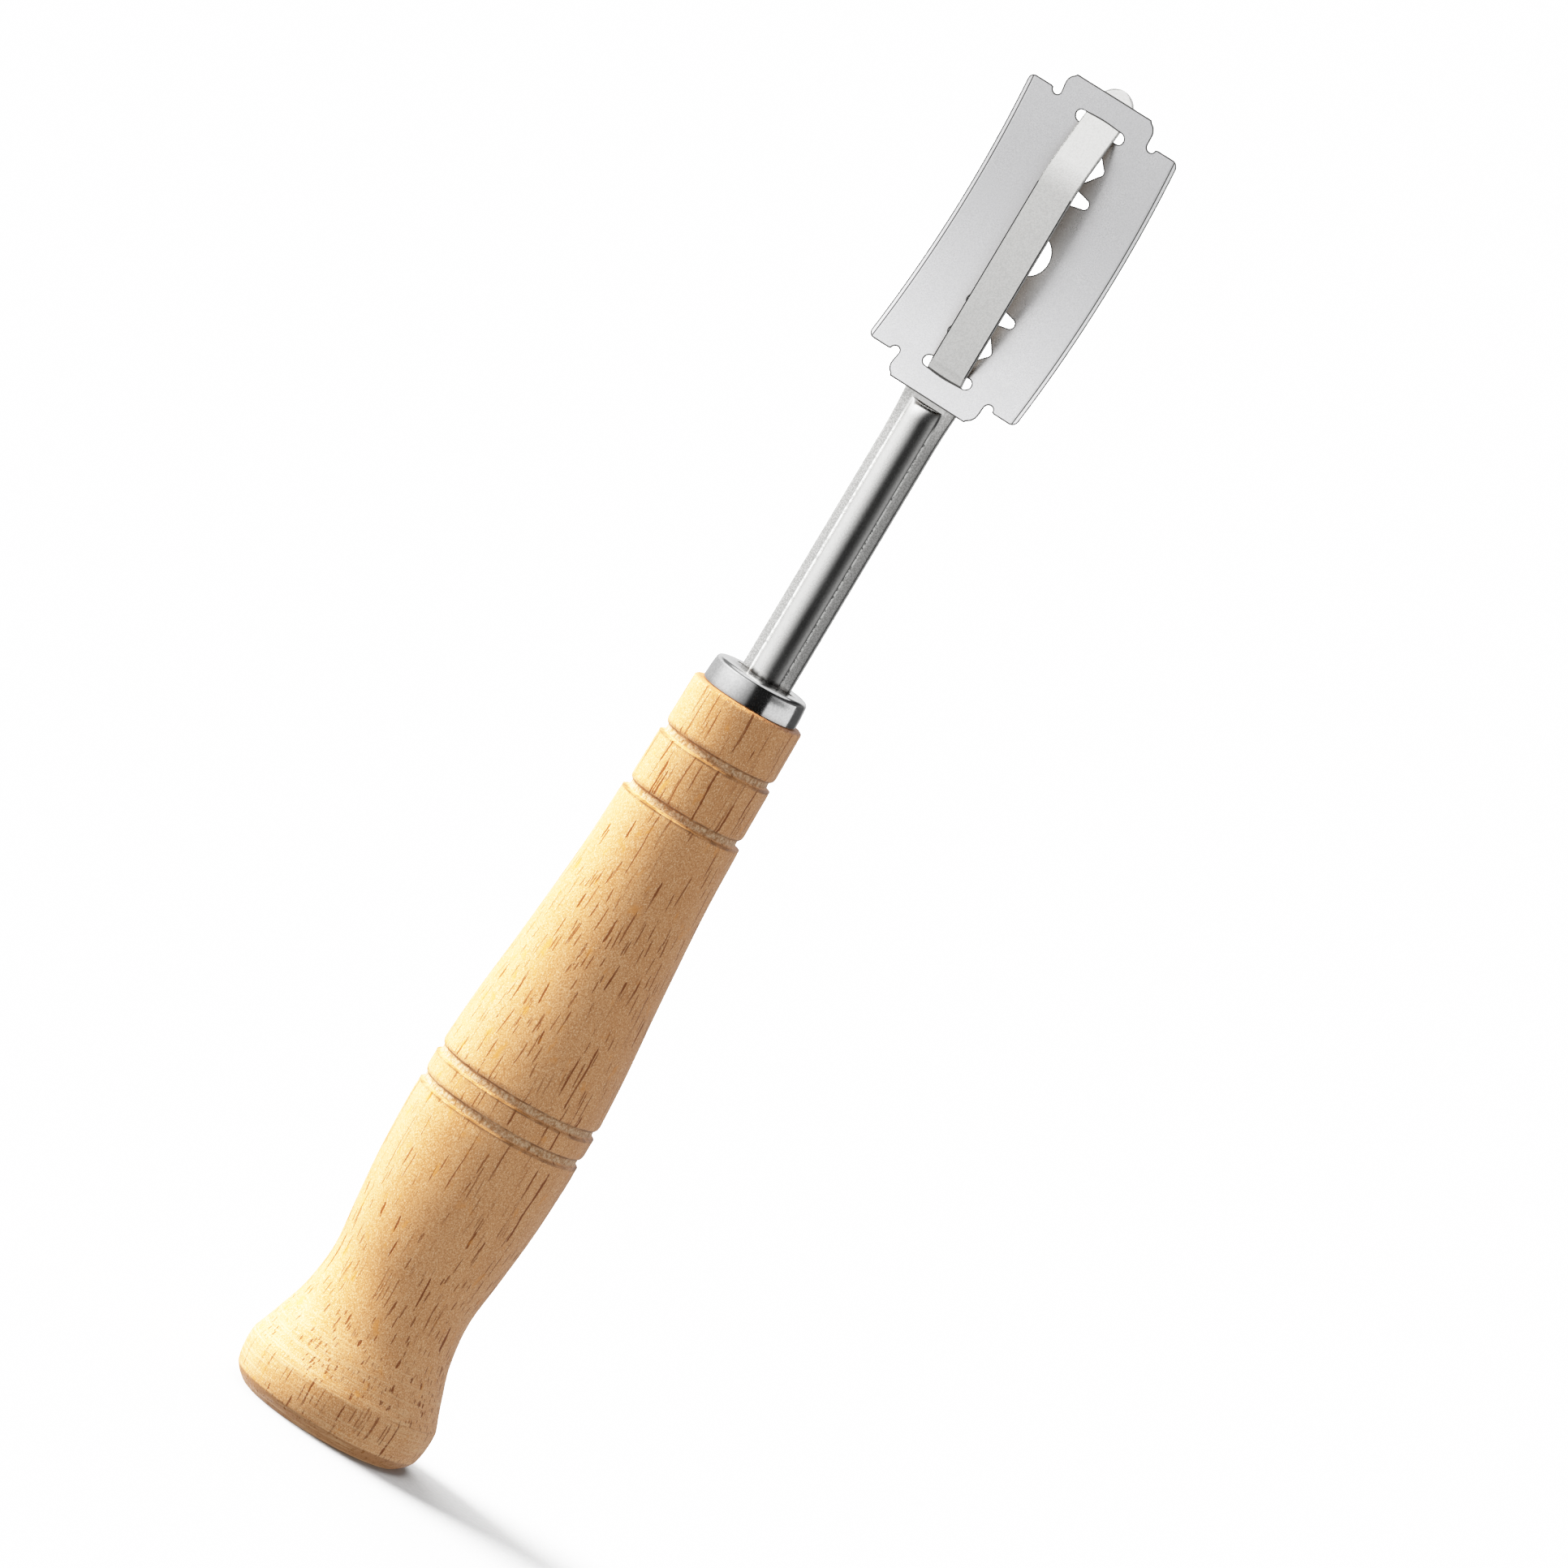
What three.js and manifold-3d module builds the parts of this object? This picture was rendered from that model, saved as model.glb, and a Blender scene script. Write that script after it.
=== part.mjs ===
// A bread lame. A turned wooden handle carries a pressed steel cup on its end. A sprung steel stem,
// pressed from one sheet, stands in the handle and ends in a narrow bow, and a double-edge blade is
// threaded on the bow, which keeps it curved.
// Millimetres. The butt stands on z = 0, +Z runs to the tip, X lies across the blade, and the bow
// is on the -Y side of the blade.

import * as THREE from 'three';
import { mergeVertices } from 'three/addons/utils/BufferGeometryUtils.js';
import Module from 'manifold-3d';

const wasm = await Module();
wasm.setup();

// Handle
const ROUND_STEPS = 40;
const BUTT_FLAT_RADIUS = 10.75;
const BUTT_RADIUS = 12.25;
const BUTT_EDGE_HEIGHT = 1.6;
const BUTT_BULGE_RADIUS = 12.72;
const BUTT_BULGE_HEIGHT = 4.0;
const BUTT_CREASE_RADIUS = 12.55;
const BUTT_CREASE_HEIGHT = 6.25;
const WAIST_RADIUS = 9.36;
const WAIST_HEIGHT = 19.4;
const BELLY_RADIUS = 10.88;
const BELLY_HEIGHT = 39.4;
const GROOVE_HALF_WIDTH = 0.8;
const GROOVE_HEIGHTS = [43.1, 47.0, 85.9, 93.8];
const SHOULDER_HEIGHT = 101.0;
const SHOULDER_RADIUS = 7.34;
const SHOULDER_EDGE = 0.35;
const TENON_RADIUS = 5.8;
const TENON_TOP = 103.87;
const BORE_RADIUS = 2.3;
const BORE_BOTTOM = 70;

// Ferrule
const FERRULE_RADIUS = 6.33;
const FERRULE_TOP_RADIUS = 6.17;
const FERRULE_WALL = 0.5;
const FERRULE_TOP = 104.4;
const FERRULE_CORNER = 0.6;
const SLOT_CLEARANCE = 0.25;
const SLOT_END_CLEARANCE = 0.55;

// Stem
const SHEET = 0.5;
const SHANK_FRONT = 0.3;
const BOW_FRONT = -0.1;
const SHANK_HALF_WIDTH = 3.5;
const NECK_HALF_WIDTH = 3.85;
const BOW_HALF_WIDTH = 2.5;
const TANG_HALF_WIDTH = 1.9;
const TANG_BOTTOM = 73;
const FLANGE_BOTTOM = 103.95;
const NECK_HEIGHT = 144.2;
const BOW_START = 146.0;
const TIP_HEIGHT = 186.2;
const TIP_RADIUS = 2.4;
const RIB_RADIUS = 2.35;
const RIB_CENTRE_DEPTH = 1.03; // how far the rib's centre of curvature lies behind the flange's front
const RIB_FILLET = 0.45;
const RIB_DOME_START = 140.4;
const RIB_DOME_LENGTH = 2.0;
const JOGGLE_START = 145.4;
const JOGGLE_END = 147.4;
const BEND_HEIGHT = 173.9;
const BEND_ANGLE = THREE.MathUtils.degToRad(14.6);
const BEND_HALF_LENGTH = 1.9;

// Blade
const BLADE_THICKNESS = 0.1;
const BLADE_RADIUS = 65;
const BLADE_HALF_LENGTH = 21.4;
const BLADE_HALF_WIDTH = 11;
const BLADE_SHOULDER = 18.6;
const BLADE_CORNER = 0.85;
const TAB_HALF_WIDTH = 6.4;
const TAB_CORNER = 0.9;
const NOTCH_RADIUS = 0.6;
const NOTCH_FLOOR = 17.9;
const CROSS_SLOT_CENTRE = 17.3;
const CROSS_SLOT_HALF_WIDTH = 3.48;
const CROSS_SLOT_HALF_HEIGHT = 0.72;
const CROSS_SLOT_BULGE = 0.16;
const DIAMOND_CENTRE = 12.7;
const DIAMOND_HALF_WIDTH = 3.12;
const DIAMOND_HALF_HEIGHT = 2.55;
const SECOND_SLOT_CENTRE = 8.35;
const SECOND_SLOT_HALF_WIDTH = 3.45;
const CENTRE_SLOT_HALF_WIDTH = 1.15;
const CENTRE_HOLE_RADIUS = 2.75;
const BLADE_LEAN = THREE.MathUtils.degToRad(3.12);
const BLADE_SLOT_Y = 0.27;
const BLADE_SLOT_HEIGHT = 146.95;

const WOOD = new THREE.MeshStandardMaterial({ name: 'turned_wood', color: 0xd0a167, roughness: 0.62, metalness: 0 });
const CUP_STEEL = new THREE.MeshStandardMaterial({
  name: 'plated_steel', color: 0xc9cacc, roughness: 0.24, metalness: 1,
});
const STEM_STEEL = new THREE.MeshStandardMaterial({
  name: 'spring_steel', color: 0xc4c4c4, roughness: 0.34, metalness: 1,
});
const BLADE_STEEL = new THREE.MeshStandardMaterial({
  name: 'blade_steel', color: 0xced0d3, roughness: 0.3, metalness: 1,
});

// Joining and cutting

function toSolid(geometry) {
  geometry.deleteAttribute('normal');
  geometry.deleteAttribute('uv');
  const merged = mergeVertices(geometry, 1e-5);
  return new wasm.Manifold(new wasm.Mesh({
    numProp: 3,
    vertProperties: new Float32Array(merged.attributes.position.array),
    triVerts: new Uint32Array(merged.index.array),
  }));
}

function toGeometry(solid) {
  const mesh = solid.getMesh();
  const geometry = new THREE.BufferGeometry();
  geometry.setAttribute('position', new THREE.BufferAttribute(new Float32Array(mesh.vertProperties), 3));
  geometry.setIndex(new THREE.BufferAttribute(new Uint32Array(mesh.triVerts), 1));
  geometry.computeVertexNormals();
  return geometry;
}

// A shape drawn in X and Z becomes a solid that runs along Y from one value to another.
function prismAlongY(shape, fromY, toY, curveSegments = 10) {
  const geometry = new THREE.ExtrudeGeometry(shape, { depth: toY - fromY, bevelEnabled: false, curveSegments });
  geometry.rotateX(Math.PI / 2);
  geometry.translate(0, toY, 0);
  return toSolid(geometry);
}

// Handle

// The points of a groove turned into the handle, from its lower lip to its upper shoulder.
function groovePoints(height, radiusBelow, radiusAbove, depth) {
  const floor = Math.min(radiusBelow, radiusAbove) - depth;
  const points = [new THREE.Vector2(radiusBelow, height - GROOVE_HALF_WIDTH)];
  for (const share of [0.35, 0.7, 1]) {
    const inward = Math.sin(share * Math.PI / 2);
    points.push(new THREE.Vector2(
      THREE.MathUtils.lerp(radiusBelow, floor, inward),
      height - GROOVE_HALF_WIDTH * (1 - 0.55 * share),
    ));
  }
  for (const share of [0, 0.4, 0.75, 1]) {
    const outward = 1 - Math.cos(share * Math.PI / 2);
    points.push(new THREE.Vector2(
      THREE.MathUtils.lerp(floor, radiusAbove, Math.sqrt(outward)),
      height + GROOVE_HALF_WIDTH * (0.3 + 0.7 * share),
    ));
  }
  return points;
}

function smoothStretch(points, steps) {
  return new THREE.SplineCurve(points.map(([radius, height]) => new THREE.Vector2(radius, height))).getPoints(steps);
}

function handleProfile() {
  const profile = [new THREE.Vector2(0, 0), new THREE.Vector2(BUTT_FLAT_RADIUS, 0)];
  for (const share of [0.35, 0.7]) {
    profile.push(new THREE.Vector2(
      BUTT_FLAT_RADIUS + (BUTT_RADIUS - BUTT_FLAT_RADIUS) * share,
      BUTT_EDGE_HEIGHT * share ** 1.25,
    ));
  }
  profile.push(new THREE.Vector2(BUTT_RADIUS, BUTT_EDGE_HEIGHT));
  profile.push(new THREE.Vector2(BUTT_BULGE_RADIUS, BUTT_BULGE_HEIGHT));
  profile.push(...smoothStretch([
    [BUTT_CREASE_RADIUS, BUTT_CREASE_HEIGHT],
    [11.2, 9.9],
    [9.97, 13.9],
    [WAIST_RADIUS, WAIST_HEIGHT],
    [9.97, 25.6],
    [10.6, 32.4],
    [BELLY_RADIUS, BELLY_HEIGHT],
    [10.87, GROOVE_HEIGHTS[0] - 1.2],
  ], 20));
  profile.push(...groovePoints(GROOVE_HEIGHTS[0], 10.86, 10.84, 0.38));
  profile.push(...groovePoints(GROOVE_HEIGHTS[1], 10.84, 10.74, 0.38));
  profile.push(...smoothStretch([
    [10.72, GROOVE_HEIGHTS[1] + 1.2],
    [10.3, 54.8],
    [9.4, 64.0],
    [8.4, 76.2],
    [8.06, GROOVE_HEIGHTS[2] - 1.2],
  ], 9));
  profile.push(...groovePoints(GROOVE_HEIGHTS[2], 8.02, 7.69, 0.4));
  profile.push(...groovePoints(GROOVE_HEIGHTS[3], 7.57, 7.43, 0.5));
  profile.push(new THREE.Vector2(SHOULDER_RADIUS, SHOULDER_HEIGHT - SHOULDER_EDGE * 1.6));
  profile.push(new THREE.Vector2(SHOULDER_RADIUS - SHOULDER_EDGE * 0.3, SHOULDER_HEIGHT - SHOULDER_EDGE * 0.5));
  profile.push(new THREE.Vector2(SHOULDER_RADIUS - SHOULDER_EDGE, SHOULDER_HEIGHT));
  profile.push(new THREE.Vector2(TENON_RADIUS, SHOULDER_HEIGHT));
  profile.push(new THREE.Vector2(TENON_RADIUS, TENON_TOP - 0.35));
  profile.push(new THREE.Vector2(TENON_RADIUS - 0.35, TENON_TOP));
  profile.push(new THREE.Vector2(BORE_RADIUS, TENON_TOP));
  profile.push(new THREE.Vector2(BORE_RADIUS, BORE_BOTTOM + 1));
  profile.push(new THREE.Vector2(0, BORE_BOTTOM));
  return profile;
}

// A profile of radius and height is turned about the Z axis.
function turned(profile) {
  const geometry = new THREE.LatheGeometry(profile, ROUND_STEPS);
  geometry.rotateX(Math.PI / 2);
  return geometry;
}

function handleGeometry() {
  return toGeometry(toSolid(turned(handleProfile())));
}

// Ferrule

function ferruleProfile() {
  const inner = FERRULE_RADIUS - FERRULE_WALL;
  const profile = [new THREE.Vector2(inner, SHOULDER_HEIGHT), new THREE.Vector2(FERRULE_RADIUS, SHOULDER_HEIGHT)];
  for (let step = 0; step <= 6; step += 1) {
    const turn = (step / 6) * Math.PI / 2;
    profile.push(new THREE.Vector2(
      FERRULE_TOP_RADIUS - FERRULE_CORNER * (1 - Math.cos(turn)),
      FERRULE_TOP - FERRULE_CORNER * (1 - Math.sin(turn)),
    ));
  }
  profile.push(new THREE.Vector2(0, FERRULE_TOP));
  profile.push(new THREE.Vector2(0, FERRULE_TOP - FERRULE_WALL));
  profile.push(new THREE.Vector2(inner - 0.35, FERRULE_TOP - FERRULE_WALL));
  profile.push(new THREE.Vector2(inner, FERRULE_TOP - FERRULE_WALL - 0.35));
  profile.push(new THREE.Vector2(inner, SHOULDER_HEIGHT));
  return profile;
}

// The cut in the cup's top that lets the ribbed stem through.
function stemCut() {
  const half = SHANK_HALF_WIDTH + SLOT_END_CLEARANCE;
  const front = SHANK_FRONT - SLOT_CLEARANCE;
  const back = SHANK_FRONT + SHEET + SLOT_CLEARANCE;
  const radius = RIB_RADIUS + SLOT_CLEARANCE;
  const turn = Math.asin((RIB_CENTRE_DEPTH + SLOT_CLEARANCE) / radius);
  const shape = new THREE.Shape();
  shape.moveTo(-half, back);
  shape.lineTo(-half, front);
  shape.absarc(0, SHANK_FRONT + RIB_CENTRE_DEPTH, radius, Math.PI + turn, 2 * Math.PI - turn, false);
  shape.lineTo(half, front);
  shape.lineTo(half, back);
  const geometry = new THREE.ExtrudeGeometry(shape, { depth: 4, bevelEnabled: false, curveSegments: 14 });
  geometry.translate(0, 0, FERRULE_TOP - 2);
  return toSolid(geometry);
}

function ferruleGeometry() {
  return toGeometry(toSolid(turned(ferruleProfile())).subtract(stemCut()));
}

// Stem

// The sheet's cross-section: for each point across it, X, the height of the front face above the
// flange's front, and the X and height of the back face. The rib is an arc with filleted feet.
function sheetSection() {
  const reach = RIB_RADIUS + RIB_FILLET;
  const rise = RIB_CENTRE_DEPTH + RIB_FILLET;
  const footX = Math.sqrt(reach * reach - rise * rise);
  const footTurn = Math.asin(rise / reach);
  const halfSection = [{ x: NECK_HALF_WIDTH + 0.4, front: 0, backX: NECK_HALF_WIDTH + 0.4, back: -SHEET }];
  for (let step = 0; step <= 3; step += 1) {
    const turn = (step / 3) * (Math.PI / 2 - footTurn);
    const reachBack = RIB_FILLET + SHEET;
    halfSection.push({
      x: footX - RIB_FILLET * Math.sin(turn),
      front: RIB_FILLET - RIB_FILLET * Math.cos(turn),
      backX: footX - reachBack * Math.sin(turn),
      back: RIB_FILLET - reachBack * Math.cos(turn),
    });
  }
  for (let step = 1; step <= 7; step += 1) {
    const turn = footTurn + (step / 7) * (Math.PI / 2 - footTurn);
    const inner = RIB_RADIUS - SHEET;
    halfSection.push({
      x: RIB_RADIUS * Math.cos(turn),
      front: RIB_RADIUS * Math.sin(turn) - RIB_CENTRE_DEPTH,
      backX: inner * Math.cos(turn),
      back: inner * Math.sin(turn) - RIB_CENTRE_DEPTH,
    });
  }
  const mirrored = halfSection.slice(0, -1).map((point) => ({ ...point, x: -point.x, backX: -point.backX }));
  return [...mirrored, ...halfSection.reverse()];
}

// How much of the rib's height is left at a height on the stem.
function ribShare(height) {
  const along = (height - RIB_DOME_START) / RIB_DOME_LENGTH;
  if (along <= 0) return 1;
  if (along >= 1) return 0;
  return Math.sqrt(1 - along * along);
}

// The line of the sheet's front face, seen from the side, as points of Y and Z.
function sheetPath() {
  const points = [[SHANK_FRONT, TANG_BOTTOM - 1], [SHANK_FRONT, RIB_DOME_START]];
  for (const share of [0.3, 0.55, 0.75, 0.9, 0.98, 1]) {
    points.push([SHANK_FRONT, RIB_DOME_START + share * RIB_DOME_LENGTH]);
  }
  for (const share of [0, 0.15, 0.35, 0.65, 0.85, 1]) {
    const eased = share * share * (3 - 2 * share);
    points.push([
      THREE.MathUtils.lerp(SHANK_FRONT, BOW_FRONT, eased),
      THREE.MathUtils.lerp(JOGGLE_START, JOGGLE_END, share),
    ]);
  }
  for (const share of [-1, -0.6, -0.2, 0.2, 0.6, 1]) {
    const climbed = Math.max(0, (share + 1) / 2);
    points.push([
      BOW_FRONT + Math.tan(BEND_ANGLE) * BEND_HALF_LENGTH * climbed * climbed,
      BEND_HEIGHT + share * BEND_HALF_LENGTH,
    ]);
  }
  const last = points[points.length - 1];
  const rise = TIP_HEIGHT + 1 - last[1];
  points.push([last[0] + Math.tan(BEND_ANGLE) * rise, TIP_HEIGHT + 1]);
  return points;
}

// The whole sheet, wider than the stem, bent along its path and pressed with its rib.
function bentSheet() {
  const section = sheetSection();
  const path = sheetPath();
  const across = section.length;
  const positions = [];
  path.forEach(([y, z], row) => {
    const before = path[Math.max(0, row - 1)];
    const after = path[Math.min(path.length - 1, row + 1)];
    const slope = Math.atan2(after[0] - before[0], after[1] - before[1]);
    const share = ribShare(z);
    for (const point of section) {
      const height = point.front * share;
      positions.push(point.x, y - height * Math.cos(slope), z + height * Math.sin(slope));
    }
    for (const point of section) {
      const height = -SHEET + (point.back + SHEET) * share;
      positions.push(point.backX, y - height * Math.cos(slope), z + height * Math.sin(slope));
    }
  });
  const index = [];
  const quad = (a, b, c, d) => index.push(a, b, c, a, c, d);
  for (let row = 0; row < path.length - 1; row += 1) {
    const front = row * 2 * across;
    const back = front + across;
    const next = 2 * across;
    for (let column = 0; column < across - 1; column += 1) {
      quad(front + column, front + column + 1, front + column + 1 + next, front + column + next);
      quad(back + column + 1, back + column, back + column + next, back + column + 1 + next);
    }
    quad(back, front, front + next, back + next);
    quad(front + across - 1, back + across - 1, back + across - 1 + next, front + across - 1 + next);
  }
  const top = (path.length - 1) * 2 * across;
  for (let column = 0; column < across - 1; column += 1) {
    quad(column, across + column, across + column + 1, column + 1);
    quad(top + column, top + column + 1, top + across + column + 1, top + across + column);
  }
  const geometry = new THREE.BufferGeometry();
  geometry.setAttribute('position', new THREE.BufferAttribute(new Float32Array(positions), 3));
  geometry.setIndex(index);
  return toSolid(geometry);
}

// The stem's outline seen from the front, in X and Z.
function stemOutline() {
  const shape = new THREE.Shape();
  shape.moveTo(-TANG_HALF_WIDTH * 0.4, TANG_BOTTOM);
  shape.lineTo(TANG_HALF_WIDTH * 0.4, TANG_BOTTOM);
  shape.lineTo(TANG_HALF_WIDTH, TANG_BOTTOM + 4);
  shape.lineTo(TANG_HALF_WIDTH, FLANGE_BOTTOM);
  shape.lineTo(SHANK_HALF_WIDTH, FLANGE_BOTTOM);
  shape.lineTo(SHANK_HALF_WIDTH, 137);
  shape.quadraticCurveTo(SHANK_HALF_WIDTH, 141, NECK_HALF_WIDTH, NECK_HEIGHT);
  shape.bezierCurveTo(NECK_HALF_WIDTH, BOW_START - 0.4, BOW_HALF_WIDTH, NECK_HEIGHT + 0.6, BOW_HALF_WIDTH, BOW_START);
  shape.lineTo(BOW_HALF_WIDTH, TIP_HEIGHT - TIP_RADIUS);
  shape.absellipse(0, TIP_HEIGHT - TIP_RADIUS, BOW_HALF_WIDTH, TIP_RADIUS, 0, Math.PI, false);
  shape.lineTo(-BOW_HALF_WIDTH, BOW_START);
  shape.bezierCurveTo(-BOW_HALF_WIDTH, NECK_HEIGHT + 0.6, -NECK_HALF_WIDTH, BOW_START - 0.4, -NECK_HALF_WIDTH, NECK_HEIGHT);
  shape.quadraticCurveTo(-SHANK_HALF_WIDTH, 141, -SHANK_HALF_WIDTH, 137);
  shape.lineTo(-SHANK_HALF_WIDTH, FLANGE_BOTTOM);
  shape.lineTo(-TANG_HALF_WIDTH, FLANGE_BOTTOM);
  shape.lineTo(-TANG_HALF_WIDTH, TANG_BOTTOM + 4);
  return shape;
}

function stemGeometry() {
  return toGeometry(bentSheet().intersect(prismAlongY(stemOutline(), -4, 8, 8)));
}

// Blade

// A length along the flat blade becomes a height on the curved one.
function alongArc(length) {
  return BLADE_RADIUS * Math.sin(length / BLADE_RADIUS);
}

// The blade's outer edge for one end, from the long edge on +X round the tab to the one on -X.
function bladeEndPoints() {
  const half = [];
  half.push([BLADE_HALF_WIDTH, BLADE_SHOULDER - BLADE_CORNER]);
  half.push([BLADE_HALF_WIDTH - BLADE_CORNER * 0.3, BLADE_SHOULDER - BLADE_CORNER * 0.3]);
  half.push([BLADE_HALF_WIDTH - BLADE_CORNER, BLADE_SHOULDER]);
  const notchX = TAB_HALF_WIDTH + NOTCH_RADIUS;
  half.push([notchX + NOTCH_RADIUS + 0.3, BLADE_SHOULDER]);
  for (let step = 0; step <= 6; step += 1) {
    const turn = (step / 6) * Math.PI;
    half.push([
      notchX + NOTCH_RADIUS * Math.cos(turn),
      NOTCH_FLOOR + NOTCH_RADIUS - NOTCH_RADIUS * Math.sin(turn),
    ]);
  }
  for (let step = 0; step <= 4; step += 1) {
    const turn = (step / 4) * Math.PI / 2;
    half.push([
      TAB_HALF_WIDTH - TAB_CORNER * (1 - Math.cos(turn)),
      BLADE_HALF_LENGTH - TAB_CORNER * (1 - Math.sin(turn)),
    ]);
  }
  const mirrored = half.map(([x, length]) => [-x, length]).reverse();
  return [...half, ...mirrored];
}

// The right-hand edge of the blade's middle cut-out, from its centre to its end.
function cutoutPoints() {
  const points = [];
  const holeTurn = Math.acos(CENTRE_SLOT_HALF_WIDTH / CENTRE_HOLE_RADIUS);
  for (let step = 0; step <= 5; step += 1) {
    const turn = (step / 5) * holeTurn;
    points.push([CENTRE_HOLE_RADIUS * Math.cos(turn), CENTRE_HOLE_RADIUS * Math.sin(turn)]);
  }
  points.push([CENTRE_SLOT_HALF_WIDTH, SECOND_SLOT_CENTRE - 1.0]);
  const barEnd = 0.62;
  for (let step = 0; step <= 4; step += 1) {
    const turn = -Math.PI / 2 + (step / 4) * Math.PI;
    points.push([
      SECOND_SLOT_HALF_WIDTH - barEnd + barEnd * Math.cos(turn),
      SECOND_SLOT_CENTRE + barEnd * Math.sin(turn),
    ]);
  }
  points.push([CENTRE_SLOT_HALF_WIDTH, SECOND_SLOT_CENTRE + 1.0]);
  points.push([CENTRE_SLOT_HALF_WIDTH, DIAMOND_CENTRE - DIAMOND_HALF_HEIGHT]);
  points.push([DIAMOND_HALF_WIDTH - 0.3, DIAMOND_CENTRE - 0.5]);
  points.push([DIAMOND_HALF_WIDTH, DIAMOND_CENTRE]);
  points.push([DIAMOND_HALF_WIDTH - 0.3, DIAMOND_CENTRE + 0.5]);
  points.push([CENTRE_SLOT_HALF_WIDTH, DIAMOND_CENTRE + DIAMOND_HALF_HEIGHT]);
  points.push([CENTRE_SLOT_HALF_WIDTH, CROSS_SLOT_CENTRE - CROSS_SLOT_HALF_HEIGHT]);
  for (let step = 0; step <= 6; step += 1) {
    const turn = -Math.PI / 2 + (step / 6) * Math.PI;
    points.push([
      CROSS_SLOT_HALF_WIDTH - CROSS_SLOT_HALF_HEIGHT + CROSS_SLOT_HALF_HEIGHT * Math.cos(turn),
      CROSS_SLOT_CENTRE + CROSS_SLOT_HALF_HEIGHT * Math.sin(turn),
    ]);
  }
  points.push([CROSS_SLOT_HALF_WIDTH * 0.4, CROSS_SLOT_CENTRE + CROSS_SLOT_HALF_HEIGHT + CROSS_SLOT_BULGE * 0.85]);
  points.push([0, CROSS_SLOT_CENTRE + CROSS_SLOT_HALF_HEIGHT + CROSS_SLOT_BULGE]);
  return points;
}

function bladeOutline() {
  const end = bladeEndPoints();
  const outer = [...end, ...end.map(([x, length]) => [-x, -length])];
  const quarter = cutoutPoints();
  const upperLeft = quarter.slice(0, -1).map(([x, length]) => [-x, length]).reverse();
  const upper = [...quarter, ...upperLeft];
  const lower = upper.slice(1, -1).map(([x, length]) => [-x, -length]);
  const toVector = ([x, length]) => new THREE.Vector2(x, alongArc(length));
  const shape = new THREE.Shape(outer.map(toVector));
  shape.holes.push(new THREE.Path([...upper, ...lower].map(toVector)));
  return shape;
}

// A plate bent to the blade's arc, its ends towards -Y, with its middle at the origin.
function curvedPlate() {
  const steps = 28;
  const outer = [];
  const inner = [];
  const halfTurn = (BLADE_HALF_LENGTH + 1) / BLADE_RADIUS;
  for (let step = 0; step <= steps; step += 1) {
    const turn = THREE.MathUtils.lerp(-halfTurn, halfTurn, step / steps);
    const far = BLADE_RADIUS + BLADE_THICKNESS / 2;
    const near = BLADE_RADIUS - BLADE_THICKNESS / 2;
    outer.push(new THREE.Vector2(far * Math.cos(turn) - BLADE_RADIUS, far * Math.sin(turn)));
    inner.push(new THREE.Vector2(near * Math.cos(turn) - BLADE_RADIUS, near * Math.sin(turn)));
  }
  const width = 2 * BLADE_HALF_WIDTH + 2;
  const geometry = new THREE.ExtrudeGeometry(new THREE.Shape([...outer, ...inner.reverse()]), {
    depth: width, bevelEnabled: false,
  });
  const turnToFrame = new THREE.Matrix4().makeBasis(
    new THREE.Vector3(0, 1, 0), new THREE.Vector3(0, 0, 1), new THREE.Vector3(1, 0, 0),
  );
  geometry.applyMatrix4(turnToFrame);
  geometry.translate(-width / 2, 0, 0);
  return toSolid(geometry);
}

function bladeGeometry() {
  const geometry = toGeometry(curvedPlate().intersect(prismAlongY(bladeOutline(), -6, 2)));
  const slotTurn = CROSS_SLOT_CENTRE / BLADE_RADIUS;
  geometry.translate(0, BLADE_RADIUS * (1 - Math.cos(slotTurn)), BLADE_RADIUS * Math.sin(slotTurn));
  geometry.rotateX(-BLADE_LEAN);
  geometry.translate(0, BLADE_SLOT_Y, BLADE_SLOT_HEIGHT);
  return geometry;
}

// Assembly

function named(name, geometry, material) {
  const mesh = new THREE.Mesh(geometry, material);
  mesh.name = name;
  return mesh;
}

const group = new THREE.Group();
group.name = 'bread_lame';
group.add(named('handle', handleGeometry(), WOOD));
group.add(named('ferrule', ferruleGeometry(), CUP_STEEL));
group.add(named('stem', stemGeometry(), STEM_STEEL));
group.add(named('blade', bladeGeometry(), BLADE_STEEL));

export default group;
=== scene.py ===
"""A bread lame standing on its butt: turned wooden handle, steel cup, ribbed spring stem and razor blade.

Everything is in metres in the row's frame. Lengths below are written in millimetres and multiplied by MM.
"""

import math

import bmesh
import bpy
from mathutils import Matrix, Vector, geometry, noise


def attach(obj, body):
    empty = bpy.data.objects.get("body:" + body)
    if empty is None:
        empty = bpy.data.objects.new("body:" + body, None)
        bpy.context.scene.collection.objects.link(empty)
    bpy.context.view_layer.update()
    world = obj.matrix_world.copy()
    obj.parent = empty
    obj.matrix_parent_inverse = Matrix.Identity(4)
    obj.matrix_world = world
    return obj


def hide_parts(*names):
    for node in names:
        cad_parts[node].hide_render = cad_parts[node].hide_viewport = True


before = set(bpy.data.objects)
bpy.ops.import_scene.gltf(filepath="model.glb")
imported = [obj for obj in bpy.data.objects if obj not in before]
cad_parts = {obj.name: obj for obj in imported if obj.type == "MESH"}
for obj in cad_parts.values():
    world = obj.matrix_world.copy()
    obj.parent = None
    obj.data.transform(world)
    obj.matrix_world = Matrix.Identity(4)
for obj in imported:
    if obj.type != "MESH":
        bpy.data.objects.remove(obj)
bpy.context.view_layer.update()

MM = 0.001

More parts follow.
